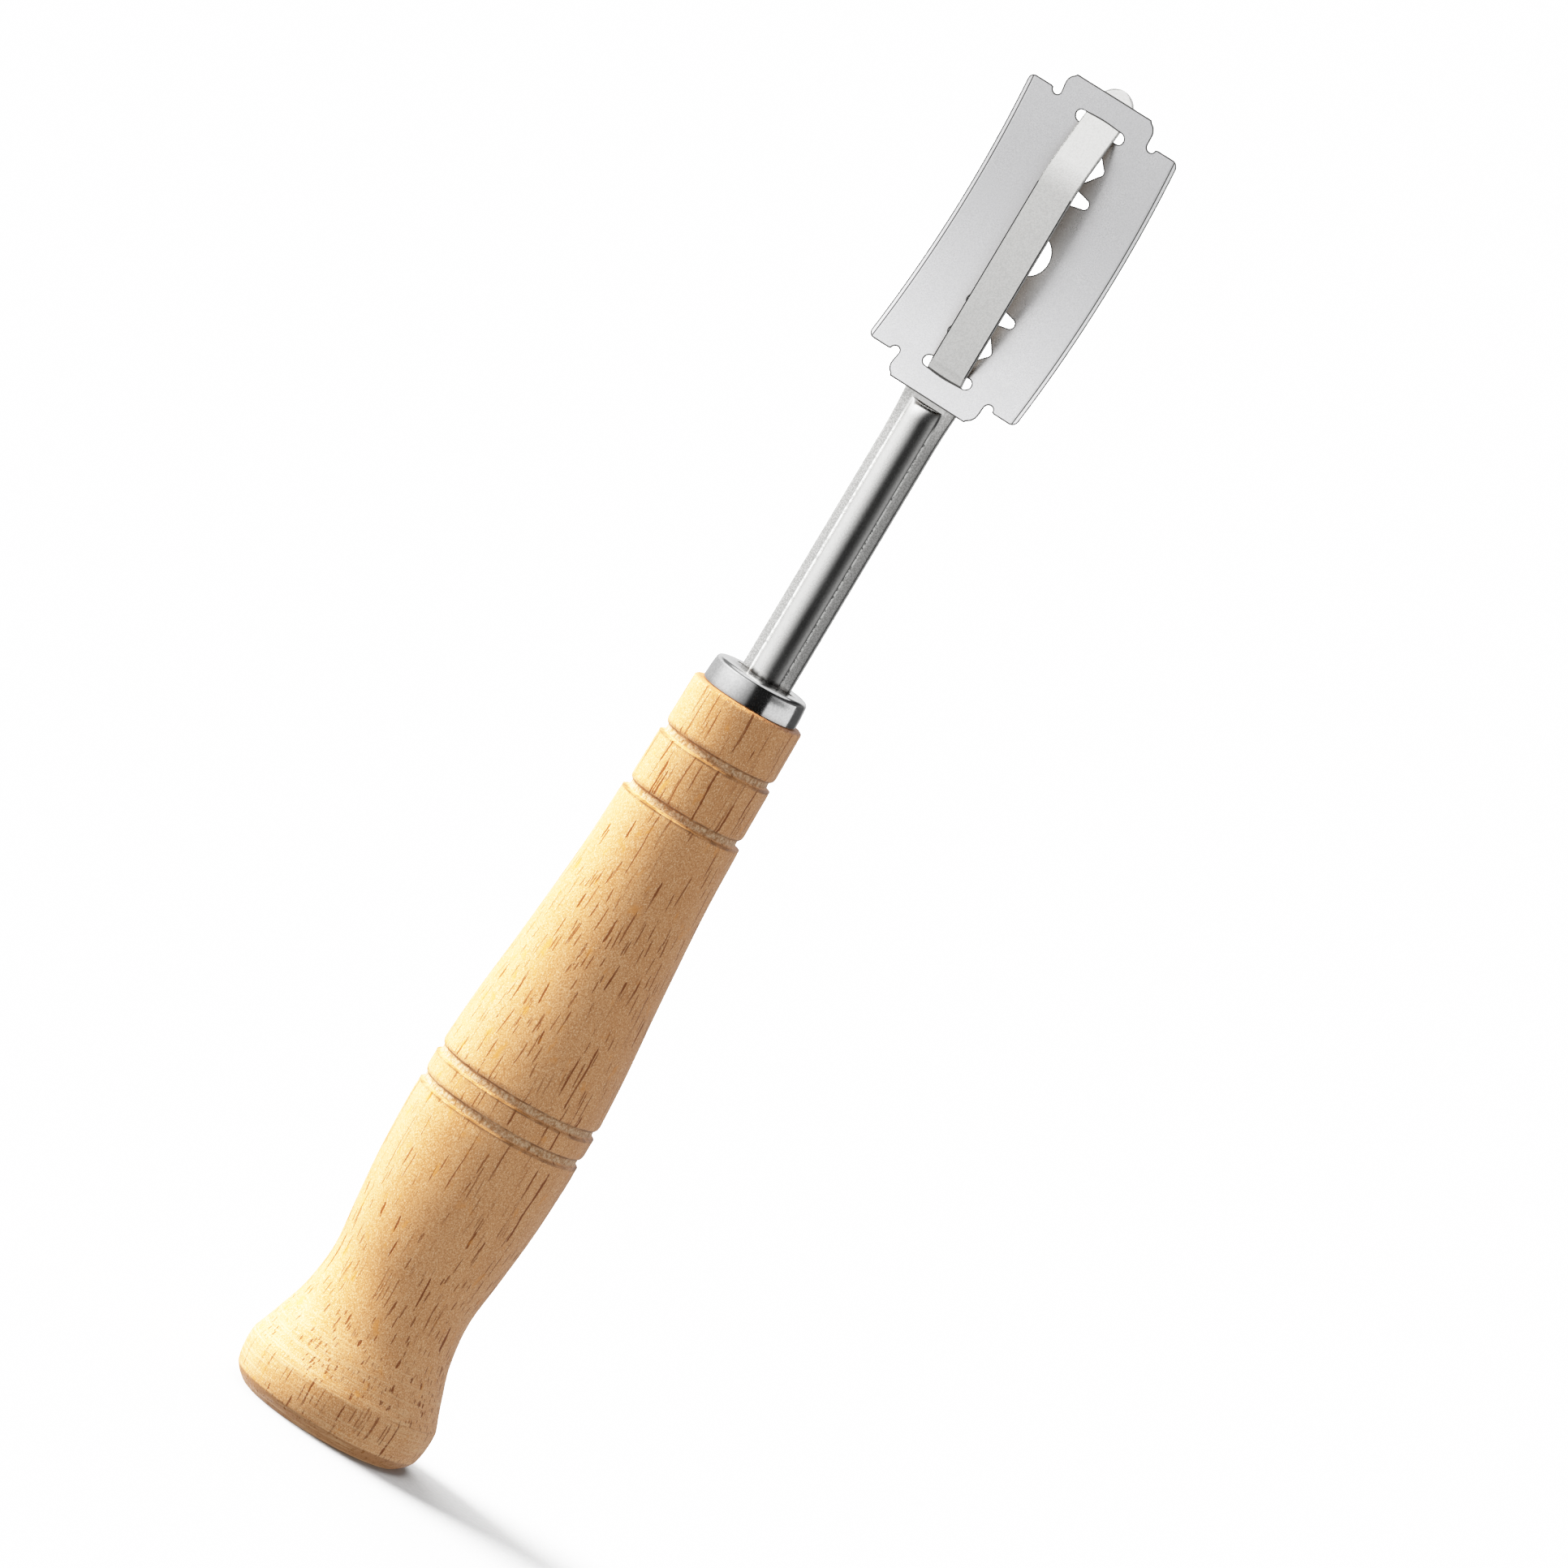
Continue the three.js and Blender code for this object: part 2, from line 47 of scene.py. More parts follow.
# Handle
SHOULDER_Z = 101.0
SHOULDER_RADIUS = 7.34
TENON_RADIUS = 5.8
TENON_TOP = 103.87
BORE_RADIUS = 2.3
BORE_BOTTOM = 70.0
COVERED_RADIUS = 6.35  # nearer the axis than this, the wood's end is under the cup
GROOVES = (
    # height, radius below, radius above, depth
    (43.1, 10.86, 10.84, 0.40),
    (47.0, 10.84, 10.74, 0.40),
    (85.9, 8.02, 7.69, 0.42),
    (93.8, 7.57, 7.43, 0.48),
)
CREASE_Z = 6.25
FOOT_EDGE_Z = 1.6

# Cup
CUP_RADIUS = 6.33
CUP_TOP_RADIUS = 6.17
CUP_WALL = 0.5
CUP_TOP = 104.4
CUP_CORNER = 0.6
SLOT_GAP = 0.3
SLOT_END_GAP = 0.55

# Stem
SHEET = 0.5
SHANK_FRONT = 0.3
BOW_FRONT = -0.1
SHANK_HALF_WIDTH = 3.5
NECK_HALF_WIDTH = 3.85
BOW_HALF_WIDTH = 2.5
FLANGE_BOTTOM = 103.95
NECK_Z = 144.2
BOW_START = 146.0
TIP_Z = 186.2
TIP_RADIUS = 2.4
RIB_RADIUS = 2.35
RIB_CENTRE_DEPTH = 1.03
RIB_FILLET = 0.45
RIB_FOOT = 2.38  # where the rib meets the flanges, from the middle
SHANK_TOP = 137.0  # where the shank starts to widen to the neck
DOME_START = 140.4
DOME_LENGTH = 2.0
JOGGLE_START = 145.4
JOGGLE_END = 147.4
BEND_Z = 173.9
BEND_ANGLE = math.radians(14.6)
BEND_HALF_LENGTH = 1.9
EDGE_ROUND = 0.17
FLANGE_SLOPE = 0.17

# Blade
BLADE_THICKNESS = 0.1
BLADE_RADIUS = 65.0
BLADE_HALF_LENGTH = 21.4
BLADE_HALF_WIDTH = 11.0
BLADE_SHOULDER = 18.6
BLADE_CORNER = 0.85
TAB_HALF_WIDTH = 6.4
TAB_CORNER = 0.9
NOTCH_RADIUS = 0.6
NOTCH_FLOOR = 17.9
CROSS_SLOT_CENTRE = 17.3
CROSS_SLOT_HALF_WIDTH = 3.48
CROSS_SLOT_HALF_HEIGHT = 0.72
CROSS_SLOT_BULGE = 0.16
DIAMOND_CENTRE = 12.7
DIAMOND_HALF_WIDTH = 3.12
DIAMOND_HALF_HEIGHT = 2.55
SECOND_SLOT_CENTRE = 8.35
SECOND_SLOT_HALF_WIDTH = 3.45
CENTRE_SLOT_HALF_WIDTH = 1.15
CENTRE_HOLE_RADIUS = 2.75
# width of the band of painted shade along every edge of the blade's faces
OUTLINE = 0.14
BLADE_LEAN = math.radians(3.12)
BLADE_SLOT_Y = 0.27
BLADE_SLOT_Z = 146.95
GROUND_FACETS = (
    # distance in from a long edge, half of the thickness there
    (0.0, 0.003),
    (0.1, 0.01),
    (0.46, 0.03),
    (0.6, 0.037),
    (0.8, BLADE_THICKNESS / 2),
)
BEND_STRIP = 0.41  # the blade is cut across into strips this long, so that it can bend
BEND_STRIPS_PER_SIDE = 52
# Slot 1 is near-black painted shade: the blade's sides, a band along every edge, a line by each ground
# facet.
FLAT_STEEL, EDGE_SHADE_STEEL, GROUND_STEEL = 0, 1, 2  # the blade's material slots

# View
VIEW_AZIMUTH = math.radians(20.0)
VIEW_ELEVATION = math.radians(6.6)
VIEW_ROLL = math.radians(30.88)
VIEW_WIDTH = 186.67
VIEW_CENTRE_Z = 94.8
VIEW_CENTRE_RIGHT = 8.53
LENS = 283.5
SENSOR = 36.0

# Studio. A tent is what a piece of steel reflects. Its stops are (direction in degrees, brightness), where
# 0 is towards the viewer and 90 is to the viewer's right. Its lift is (height, factor on the brightness).
WORLD_STRENGTH = 0.78
FILM_WHITE = 4.6  # the light that comes out as white
CUP_TENT = (
    (-180, 1.0), (-116, 1.05), (-89, 1.8), (-60, 1.8), (-38, 1.3), (-12, 0.45), (-3, 0.01), (36, 0.01),
    (60, 0.06), (148, 0.12), (165, 0.9),
)
CUP_LIFT = ((0, 0.95), (90, 1.0), (220, 1.6), (330, 1.3), (420, 0.3), (1000, 0.5))
BLADE_TENT = (
    (-180, 1.0), (-116, 1.1), (-89, 1.8), (-60, 1.8), (-38, 1.3), (-12, 0.6), (10, 0.45), (40, 0.45),
    (90, 0.8), (150, 1.0), (170, 1.0),
)
STEM_TENT = (
    (-180, 1.0), (-123, 1.9), (-103, 2.1), (-76, 1.9), (-50, 1.3), (-32, 0.7), (-12, 0.17), (0, 0.03),
    (28, 0.03), (48, 0.12), (66, 0.4), (95, 0.6), (150, 0.8), (170, 0.9),
)
STEM_LIFT = ((0, 1.0), (75, 1.0), (110, 1.2), (450, 2.0), (1000, 2.2))
BLADE_LIFT = ((0, 1.0), (90, 1.0), (285, 1.3), (480, 1.65), (1000, 1.65))
OUTER_TENT_RADIUS = 600.0
STRIPE_RADIUS = 570.0
STRIPE_FROM = 38.0
STRIPE_TO = 110.0
STRIPE_LOW = 5.0
STRIPE_HIGH = 125.0
STRIPE_LIGHT = 1.45
# Lamps: towards the right, towards the viewer, upwards, energy, spread in degrees
KEY_LAMP = (-1.0, -0.31, 0.9, 36.0, 50)
FLOOR_LAMPS = (
    (-0.947, -0.167, 0.276, 106.0, 44),
    (-0.58, -0.69, 0.42, 11.5, 50),
    (-0.05, -0.20, 1.0, 7.8, 40),
)
BACKDROP_RADIUS = 8000.0


# Small helpers


def mix(a, b, t):
    return a + (b - a) * t


def curve_between(a, b, c, d, t):
    """A smooth curve's value between b and c, with a and d as the values before and after."""
    square = (2 * a - 5 * b + 4 * c - d) * t * t
    cube = (3 * b - a - 3 * c + d) * t ** 3
    return 0.5 * (2 * b + (c - a) * t + square + cube)


def spline(points, steps):
    """A smooth run of points through the given ones."""
    run = []
    last = len(points) - 1
    for step in range(steps + 1):
        place = step / steps * last
        i = min(int(place), last - 1)
        t = place - i
        p0 = points[max(i - 1, 0)]
        p1 = points[i]
        p2 = points[i + 1]
        p3 = points[min(i + 2, last)]
        run.append(tuple(curve_between(a, b, c, d, t) for a, b, c, d in zip(p0, p1, p2, p3)))
    return run


def mesh_object(name, verts, faces, smooth_degrees=35.0):
    """A new object from points in millimetres."""
    mesh = bpy.data.meshes.new(name)
    mesh.from_pydata([(x * MM, y * MM, z * MM) for x, y, z in verts], [], faces)
    mesh.validate()
    obj = bpy.data.objects.new(name, mesh)
    bpy.context.scene.collection.objects.link(obj)
    smooth(mesh, smooth_degrees)
    return obj


def smooth(mesh, degrees):
    for face in mesh.polygons:
        face.use_smooth = True
    mesh.set_sharp_from_angle(angle=math.radians(degrees))


def apply_modifiers(obj):
    """The object's mesh becomes the one its modifiers make."""
    graph = bpy.context.evaluated_depsgraph_get()
    made = bpy.data.meshes.new_from_object(obj.evaluated_get(graph))
    obj.modifiers.clear()
    obj.data = made


def turned(name, profile, segments, smooth_degrees=35.0, wobble=None):
    """A closed profile of (radius, height) turned about Z. Points on the axis become poles."""
    verts = []
    faces = []
    rings = []
    for radius, height in profile:
        if radius < 1e-6:
            rings.append([len(verts)])
            verts.append((0.0, 0.0, height))
            continue
        ring = []
        for k in range(segments):
            turn = 2 * math.pi * k / segments
            r, h = (radius, height) if wobble is None else wobble(radius, height, turn)
            ring.append(len(verts))
            verts.append((r * math.cos(turn), r * math.sin(turn), h))
        rings.append(ring)
    for low, high in zip(rings, rings[1:]):
        if len(low) == 1 and len(high) == 1:
            continue
        for k in range(segments):
            n = (k + 1) % segments
            if len(low) == 1:
                faces.append((low[0], high[n], high[k]))
            elif len(high) == 1:
                faces.append((low[k], low[n], high[0]))
            else:
                faces.append((low[k], low[n], high[n], high[k]))
    return mesh_object(name, verts, faces, smooth_degrees)


# Handle


def groove(height, below, above, depth):
    """The points of one turned groove, from its lower lip to its rounded upper shoulder."""
    floor = min(below, above) - depth
    points = [(below, height - 1.15), (below + 0.02, height - 0.92)]
    for share in (0.0, 0.3, 0.6, 0.85, 1.0):
        inward = math.sin(share * math.pi / 2)
        points.append((mix(below + 0.02, floor + 0.03, inward), height - 0.82 + 0.34 * share))
    points.append((floor, height - 0.1))
    points.append((floor - 0.01, height + 0.22))
    for share in (0.15, 0.35, 0.6, 0.8, 0.93, 1.0):
        turn = share * math.pi / 2
        points.append((mix(floor, above, math.sin(turn)), height + 0.28 + 0.8 * (1 - math.cos(turn))))
    return points


def handle_profile():
    profile = [(0.0, 0.0), (5.0, 0.0), (9.8, 0.0), (10.5, 0.0), (10.75, 0.06)]
    profile += spline([(10.95, 0.2), (11.7, 0.85), (12.2, FOOT_EDGE_Z - 0.08)], 6)
    profile += spline([
        (12.29, FOOT_EDGE_Z + 0.08), (12.52, 2.6), (12.68, 3.8), (12.71, 4.9), (12.66, 5.9),
    ], 12)
    profile += spline([(12.54, CREASE_Z), (12.3, 6.9)], 3)
    profile += spline([
        (12.08, 7.4), (11.2, 9.9), (9.97, 13.9), (9.36, 19.4), (9.97, 25.6),
        (10.6, 32.4), (10.88, 39.4), (10.87, GROOVES[0][0] - 1.3),
    ], 90)
    profile += groove(*GROOVES[0])
    profile += groove(*GROOVES[1])
    profile += spline([
        (10.73, GROOVES[1][0] + 1.3), (10.3, 54.8), (9.4, 64.0), (8.4, 76.2), (8.06, GROOVES[2][0] - 1.3),
    ], 60)
    profile += groove(*GROOVES[2])
    profile += spline([(7.68, GROOVES[2][0] + 1.3), (7.6, GROOVES[3][0] - 1.3)], 8)
    profile += groove(*GROOVES[3])
    profile += spline([(7.42, GROOVES[3][0] + 1.3), (SHOULDER_RADIUS, SHOULDER_Z - 0.62)], 8)
    for step in range(1, 7):
        turn = step / 6 * math.pi / 2
        radius = SHOULDER_RADIUS - 0.36 * (1 - math.cos(turn))
        profile.append((radius, SHOULDER_Z - 0.5 + 0.5 * math.sin(turn)))
    profile += [(6.7, SHOULDER_Z + 0.01), (6.4, SHOULDER_Z), (TENON_RADIUS, SHOULDER_Z)]
    profile += [(TENON_RADIUS, TENON_TOP - 0.37), (TENON_RADIUS - 0.35, TENON_TOP)]
    profile += [(BORE_RADIUS, TENON_TOP), (BORE_RADIUS, BORE_BOTTOM + 1.0), (0.0, BORE_BOTTOM)]
    return profile


def torn_fibres(radius, height, turn):
    """The cut wood's small unevenness: strong on the shoulder and in the grooves, almost none elsewhere."""
    strength = 0.006
    if SHOULDER_Z - 0.6 < height < SHOULDER_Z + 0.1 and radius > COVERED_RADIUS:
        strength = 0.07
    for z, _, _, _ in GROOVES:
        if abs(height - z) < 0.85:
            strength = 0.035
    if height < 0.01 or radius < COVERED_RADIUS:
        strength = 0.0
    place = Vector((math.cos(turn) * radius * 2.2, math.sin(turn) * radius * 2.2, height * 1.6))
    return radius + strength * noise.noise(place), height + strength * 0.6 * noise.noise(place * 1.7)


def make_handle():
    return turned("wood_handle", handle_profile(), 224, 50.0, torn_fibres)


# Cup


def cup_profile():
    inner = CUP_RADIUS - CUP_WALL
    bottom = SHOULDER_Z + 0.02
    profile = [(inner, bottom), (CUP_RADIUS - 0.06, bottom), (CUP_RADIUS, SHOULDER_Z + 0.1)]
    for step in range(1, 6):
        share = step / 6
        profile.append((
            mix(CUP_RADIUS, CUP_TOP_RADIUS, share * share),
            mix(SHOULDER_Z + 0.1, CUP_TOP - CUP_CORNER, share),
        ))
    for step in range(13):
        turn = step / 12 * math.pi / 2
        profile.append((
            CUP_TOP_RADIUS - CUP_CORNER * (1 - math.cos(turn)),
            CUP_TOP - CUP_CORNER * (1 - math.sin(turn)),
        ))
    ceiling = CUP_TOP - CUP_WALL
    profile += [(4.9, CUP_TOP), (0.0, CUP_TOP), (0.0, ceiling)]
    profile += [(inner - 0.35, ceiling), (inner, ceiling - 0.35), (inner, bottom)]
    return profile


def slot_cutter():
    """The hole in the cup's top: a slit for the flanges, with an arc for the rib."""
    half = SHANK_HALF_WIDTH + SLOT_END_GAP
    front = SHANK_FRONT - SLOT_GAP
    back = SHANK_FRONT + SHEET + SLOT_GAP
    radius = RIB_RADIUS + SLOT_GAP
    outline = [(half, back), (-half, back), (-half, front)]
    start = math.asin((RIB_CENTRE_DEPTH + SLOT_GAP) / radius)
    for step in range(25):
        turn = math.pi + start + step / 24 * (math.pi - 2 * start)
        outline.append((radius * math.cos(turn), SHANK_FRONT + RIB_CENTRE_DEPTH + radius * math.sin(turn)))
    outline.append((half, front))
    low = [(x, y, CUP_TOP - 3) for x, y in outline]
    high = [(x, y, CUP_TOP + 2) for x, y in outline]
    count = len(outline)
    faces = [tuple(range(count)), tuple(range(2 * count - 1, count - 1, -1))]
    faces += [(k, count + k, count + (k + 1) % count, (k + 1) % count) for k in range(count)]
    cutter = mesh_object("slot_cutter", low + high, faces)
    cutter.data.flip_normals()
    fix_normals(cutter.data)
    return cutter


def fix_normals(mesh):
    work = bmesh.new()
    work.from_mesh(mesh)
    bmesh.ops.remove_doubles(work, verts=work.verts, dist=1e-7)
    bmesh.ops.recalc_face_normals(work, faces=work.faces)
    work.to_mesh(mesh)
    work.free()


def make_cup():
    cup = turned("steel_cup", cup_profile(), 144)
    fix_normals(cup.data)
    cutter = slot_cutter()
    cut = cup.modifiers.new("slot", "BOOLEAN")
    cut.object = cutter
    cut.operation = "DIFFERENCE"
    cut.solver = "EXACT"
    apply_modifiers(cup)
    bpy.data.objects.remove(cutter)
    soften = cup.modifiers.new("soften", "BEVEL")
    soften.width = 0.06 * MM
    soften.segments = 2
    soften.limit_method = "ANGLE"
    soften.angle_limit = math.radians(60)
    apply_modifiers(cup)
    smooth(cup.data, 35.0)
    return cup


# Stem


def rib_share(z):
    """How much of the rib's height is left at a height, since it ends in a dome."""
    along = (z - DOME_START) / DOME_LENGTH
    if along <= 0:
        return 1.0
    if along >= 1:
        return 0.0
    return math.sqrt(1 - along * along)


def front_line(z):
    """The Y of the sheet's front face at a height, away from the rib."""
    if z <= JOGGLE_START:
        return SHANK_FRONT
    if z <= JOGGLE_END:
        t = (z - JOGGLE_START) / (JOGGLE_END - JOGGLE_START)
        return mix(SHANK_FRONT, BOW_FRONT, t * t * (3 - 2 * t))
    start = BEND_Z - BEND_HALF_LENGTH
    end = BEND_Z + BEND_HALF_LENGTH
    if z <= start:
        return BOW_FRONT
    if z <= end:
        climbed = (z - start) / (end - start)
        return BOW_FRONT + math.tan(BEND_ANGLE) * BEND_HALF_LENGTH * climbed * climbed
    return BOW_FRONT + math.tan(BEND_ANGLE) * (BEND_HALF_LENGTH + z - end)


def half_width(z):
    """Half of the stem's width at a height."""
    if z < SHANK_TOP:
        return SHANK_HALF_WIDTH
    if z < NECK_Z:
        t = (z - SHANK_TOP) / (NECK_Z - SHANK_TOP)
        return mix(SHANK_HALF_WIDTH, NECK_HALF_WIDTH, t * t)
    if z < BOW_START:
        t = (z - NECK_Z) / (BOW_START - NECK_Z)
        return mix(NECK_HALF_WIDTH, BOW_HALF_WIDTH, t * t * (3 - 2 * t))
    start = TIP_Z - TIP_RADIUS
    if z <= start:
        return BOW_HALF_WIDTH
    t = min(1.0, (z - start) / TIP_RADIUS)
    return BOW_HALF_WIDTH * math.sqrt(max(0.0, 1 - t * t))


def flange_sweep(x, z):
    """How far the flange lies behind the flat at its outer part; the bow is flat again."""
    outward = max(0.0, abs(x) - RIB_FOOT)
    fade = 1.0 if z < SHANK_TOP else max(0.0, 1 - (z - SHANK_TOP) / 7)
    return FLANGE_SLOPE * outward * fade


def rib_columns():
    """Half of the sheet, from flange to rib crest: X and height of its front face, then of its back."""
    reach = RIB_RADIUS + RIB_FILLET
    rise = RIB_CENTRE_DEPTH + RIB_FILLET
    foot = math.sqrt(reach * reach - rise * rise)
    foot_turn = math.asin(rise / reach)
    columns = []
    for step in range(7):
        turn = step / 6 * (math.pi / 2 - foot_turn)
        back = RIB_FILLET + SHEET
        columns.append((
            foot - RIB_FILLET * math.sin(turn), RIB_FILLET - RIB_FILLET * math.cos(turn),
            foot - back * math.sin(turn), RIB_FILLET - back * math.cos(turn),
        ))
    for step in range(1, 17):
        turn = foot_turn + step / 16 * (math.pi / 2 - foot_turn)
        inner = RIB_RADIUS - SHEET
        columns.append((
            RIB_RADIUS * math.cos(turn), RIB_RADIUS * math.sin(turn) - RIB_CENTRE_DEPTH,
            inner * math.cos(turn), inner * math.sin(turn) - RIB_CENTRE_DEPTH,
        ))
    return columns


def stem_rows():
    """The heights of the stem's rows, close together where it turns."""
    rows = [102.2, FLANGE_BOTTOM + 0.02, 106.0]
    rows += [106.0 + 2.2 * k for k in range(1, 15)]
    rows += [SHANK_TOP + 0.5 * k for k in range(1, 7)]
    rows += [DOME_START + DOME_LENGTH * math.sin(k / 14 * math.pi / 2) for k in range(15)]
    rows += [142.8 + 0.2 * k for k in range(26)]
    rows += [149.0 + 1.2 * k for k in range(19)]
    rows += [171.6 + 0.2 * k for k in range(24)]
    rows += [177.2 + 1.1 * k for k in range(6)]
    rows += [TIP_Z - TIP_RADIUS + TIP_RADIUS * math.sin(k / 16 * math.pi / 2) for k in range(16)]
    rows.append(TIP_Z - 0.002)
    return sorted(set(round(z, 4) for z in rows))


def quarter_round(steps):
    """A rounded edge of radius 1 from the side to the face, as shares inwards and down."""
    turns = [step / steps * math.pi / 2 for step in range(steps + 1)]
    return [(1 - math.cos(turn), 1 - math.sin(turn)) for turn in turns]


def stem_ring(z):
    """The closed cross-section of the stem at a height, as points of X, Y and Z."""
    width = half_width(z)
    share = rib_share(z)
    slope = math.atan2(front_line(z + 0.05) - front_line(z - 0.05), 0.1)
    squeeze = min(1.0, width / BOW_HALF_WIDTH)
    edge = EDGE_ROUND * squeeze
    front = [(width - edge * inward, -edge * down) for inward, down in quarter_round(5)]
    back_edge = 0.6 * edge
    back = [(width - back_edge * inward, -SHEET + back_edge * down) for inward, down in quarter_round(3)]
    front += [(mix(width, RIB_FOOT, k / 3) * squeeze, 0.0) for k in (1, 2)]
    back += [(mix(width, RIB_FOOT, k / 3) * squeeze, -SHEET) for k in (1, 2)]
    for x, height, back_x, back_height in rib_columns():
        front.append((x * squeeze, height * share))
        back.append((back_x * squeeze, -SHEET + (back_height + SHEET) * share))
    across = [(-x, h) for x, h in front] + [(x, h) for x, h in front[-2::-1]]
    behind = [(x, h) for x, h in back] + [(-x, h) for x, h in back[-2::-1]]
    base = front_line(z)
    ring = []
    for x, h in across + behind:
        lift = h - flange_sweep(x, z)
        ring.append((x, base - lift * math.cos(slope), z + lift * math.sin(slope)))
    return ring


def make_stem():
    verts = []
    faces = []
    rings = []
    for z in stem_rows():
        ring = stem_ring(z)
        rings.append(range(len(verts), len(verts) + len(ring)))
        verts += ring
    for low, high in zip(rings, rings[1:]):
        count = len(low)
        for k in range(count):
            n = (k + 1) % count
            faces.append((low[k], low[n], high[n], high[k]))
    faces.append(tuple(rings[0]))
    faces.append(tuple(reversed(rings[-1])))
    stem = mesh_object("ribbed_stem", verts, faces, 40.0)
    fix_normals(stem.data)
    smooth(stem.data, 40.0)
    return stem


# Blade


def blade_end():
    """One end of the blade's outer edge, from the long edge on +X round the tab to the one on -X."""
    half = []
    for step in range(6):
        turn = step / 5 * math.pi / 2
        half.append((
            BLADE_HALF_WIDTH - BLADE_CORNER * (1 - math.cos(turn)),
            BLADE_SHOULDER - BLADE_CORNER * (1 - math.sin(turn)),
        ))
    notch_x = TAB_HALF_WIDTH + NOTCH_RADIUS
    half.append((notch_x + NOTCH_RADIUS + 0.3, BLADE_SHOULDER))
    for step in range(13):
        turn = step / 12 * math.pi
        half.append((
            notch_x + NOTCH_RADIUS * math.cos(turn),
            NOTCH_FLOOR + NOTCH_RADIUS - NOTCH_RADIUS * math.sin(turn),
        ))
    half += spline([
        (TAB_HALF_WIDTH + 0.02, NOTCH_FLOOR + 1.1),
        (TAB_HALF_WIDTH + 0.05, NOTCH_FLOOR + 1.7),
        (TAB_HALF_WIDTH, NOTCH_FLOOR + 2.3),
        (TAB_HALF_WIDTH - 0.3, BLADE_HALF_LENGTH - 0.62),
        (TAB_HALF_WIDTH - 0.72, BLADE_HALF_LENGTH - 0.28),
        (TAB_HALF_WIDTH - TAB_CORNER, BLADE_HALF_LENGTH),
    ], 12)
    return half + [(-x, length) for x, length in reversed(half)]


def cutout_quarter():
    """The right-hand edge of the middle cut-out, from the blade's centre to the cut-out's end."""
    points = []
    hole_turn = math.acos(CENTRE_SLOT_HALF_WIDTH / CENTRE_HOLE_RADIUS)
    for step in range(13):
        turn = step / 12 * hole_turn
        points.append((CENTRE_HOLE_RADIUS * math.cos(turn), CENTRE_HOLE_RADIUS * math.sin(turn)))
    points.append((CENTRE_SLOT_HALF_WIDTH, SECOND_SLOT_CENTRE - 1.0))
    bar_end = 0.62
    for step in range(11):
        turn = -math.pi / 2 + step / 10 * math.pi
        points.append((
            SECOND_SLOT_HALF_WIDTH - bar_end + bar_end * math.cos(turn),
            SECOND_SLOT_CENTRE + bar_end * math.sin(turn),
        ))
    points.append((CENTRE_SLOT_HALF_WIDTH, SECOND_SLOT_CENTRE + 1.0))
    points.append((CENTRE_SLOT_HALF_WIDTH, DIAMOND_CENTRE - DIAMOND_HALF_HEIGHT))
    points += spline([
        (DIAMOND_HALF_WIDTH - 0.32, DIAMOND_CENTRE - 0.56),
        (DIAMOND_HALF_WIDTH - 0.1, DIAMOND_CENTRE - 0.33),
        (DIAMOND_HALF_WIDTH, DIAMOND_CENTRE),
        (DIAMOND_HALF_WIDTH - 0.1, DIAMOND_CENTRE + 0.33),
        (DIAMOND_HALF_WIDTH - 0.32, DIAMOND_CENTRE + 0.56),
    ], 8)
    points.append((CENTRE_SLOT_HALF_WIDTH, DIAMOND_CENTRE + DIAMOND_HALF_HEIGHT))
    points.append((CENTRE_SLOT_HALF_WIDTH, CROSS_SLOT_CENTRE - CROSS_SLOT_HALF_HEIGHT))
    for step in range(13):
        turn = -math.pi / 2 + step / 12 * math.pi
        points.append((
            CROSS_SLOT_HALF_WIDTH - CROSS_SLOT_HALF_HEIGHT + CROSS_SLOT_HALF_HEIGHT * math.cos(turn),
            CROSS_SLOT_CENTRE + CROSS_SLOT_HALF_HEIGHT * math.sin(turn),
        ))
    reach = CROSS_SLOT_HALF_WIDTH - CROSS_SLOT_HALF_HEIGHT
    for step in range(1, 7):
        x = reach * (1 - step / 6)
        bulge = CROSS_SLOT_BULGE * math.cos(x / reach * math.pi / 2) ** 1.5
        points.append((x, CROSS_SLOT_CENTRE + CROSS_SLOT_HALF_HEIGHT + bulge))
    return points


def inset_loop(points, distance):
    """A closed loop moved to its left by the distance."""
    moved = []
    for k, here in enumerate(points):
        behind = (here - points[k - 1]).normalized()
        ahead = (points[(k + 1) % len(points)] - here).normalized()
        left = Vector((-behind.y - ahead.y, behind.x + ahead.x, 0.0)).normalized()
        stretch = 1 / max(0.6, left.dot(Vector((-ahead.y, ahead.x, 0.0))))
        moved.append(here + left * distance * stretch)
    return moved


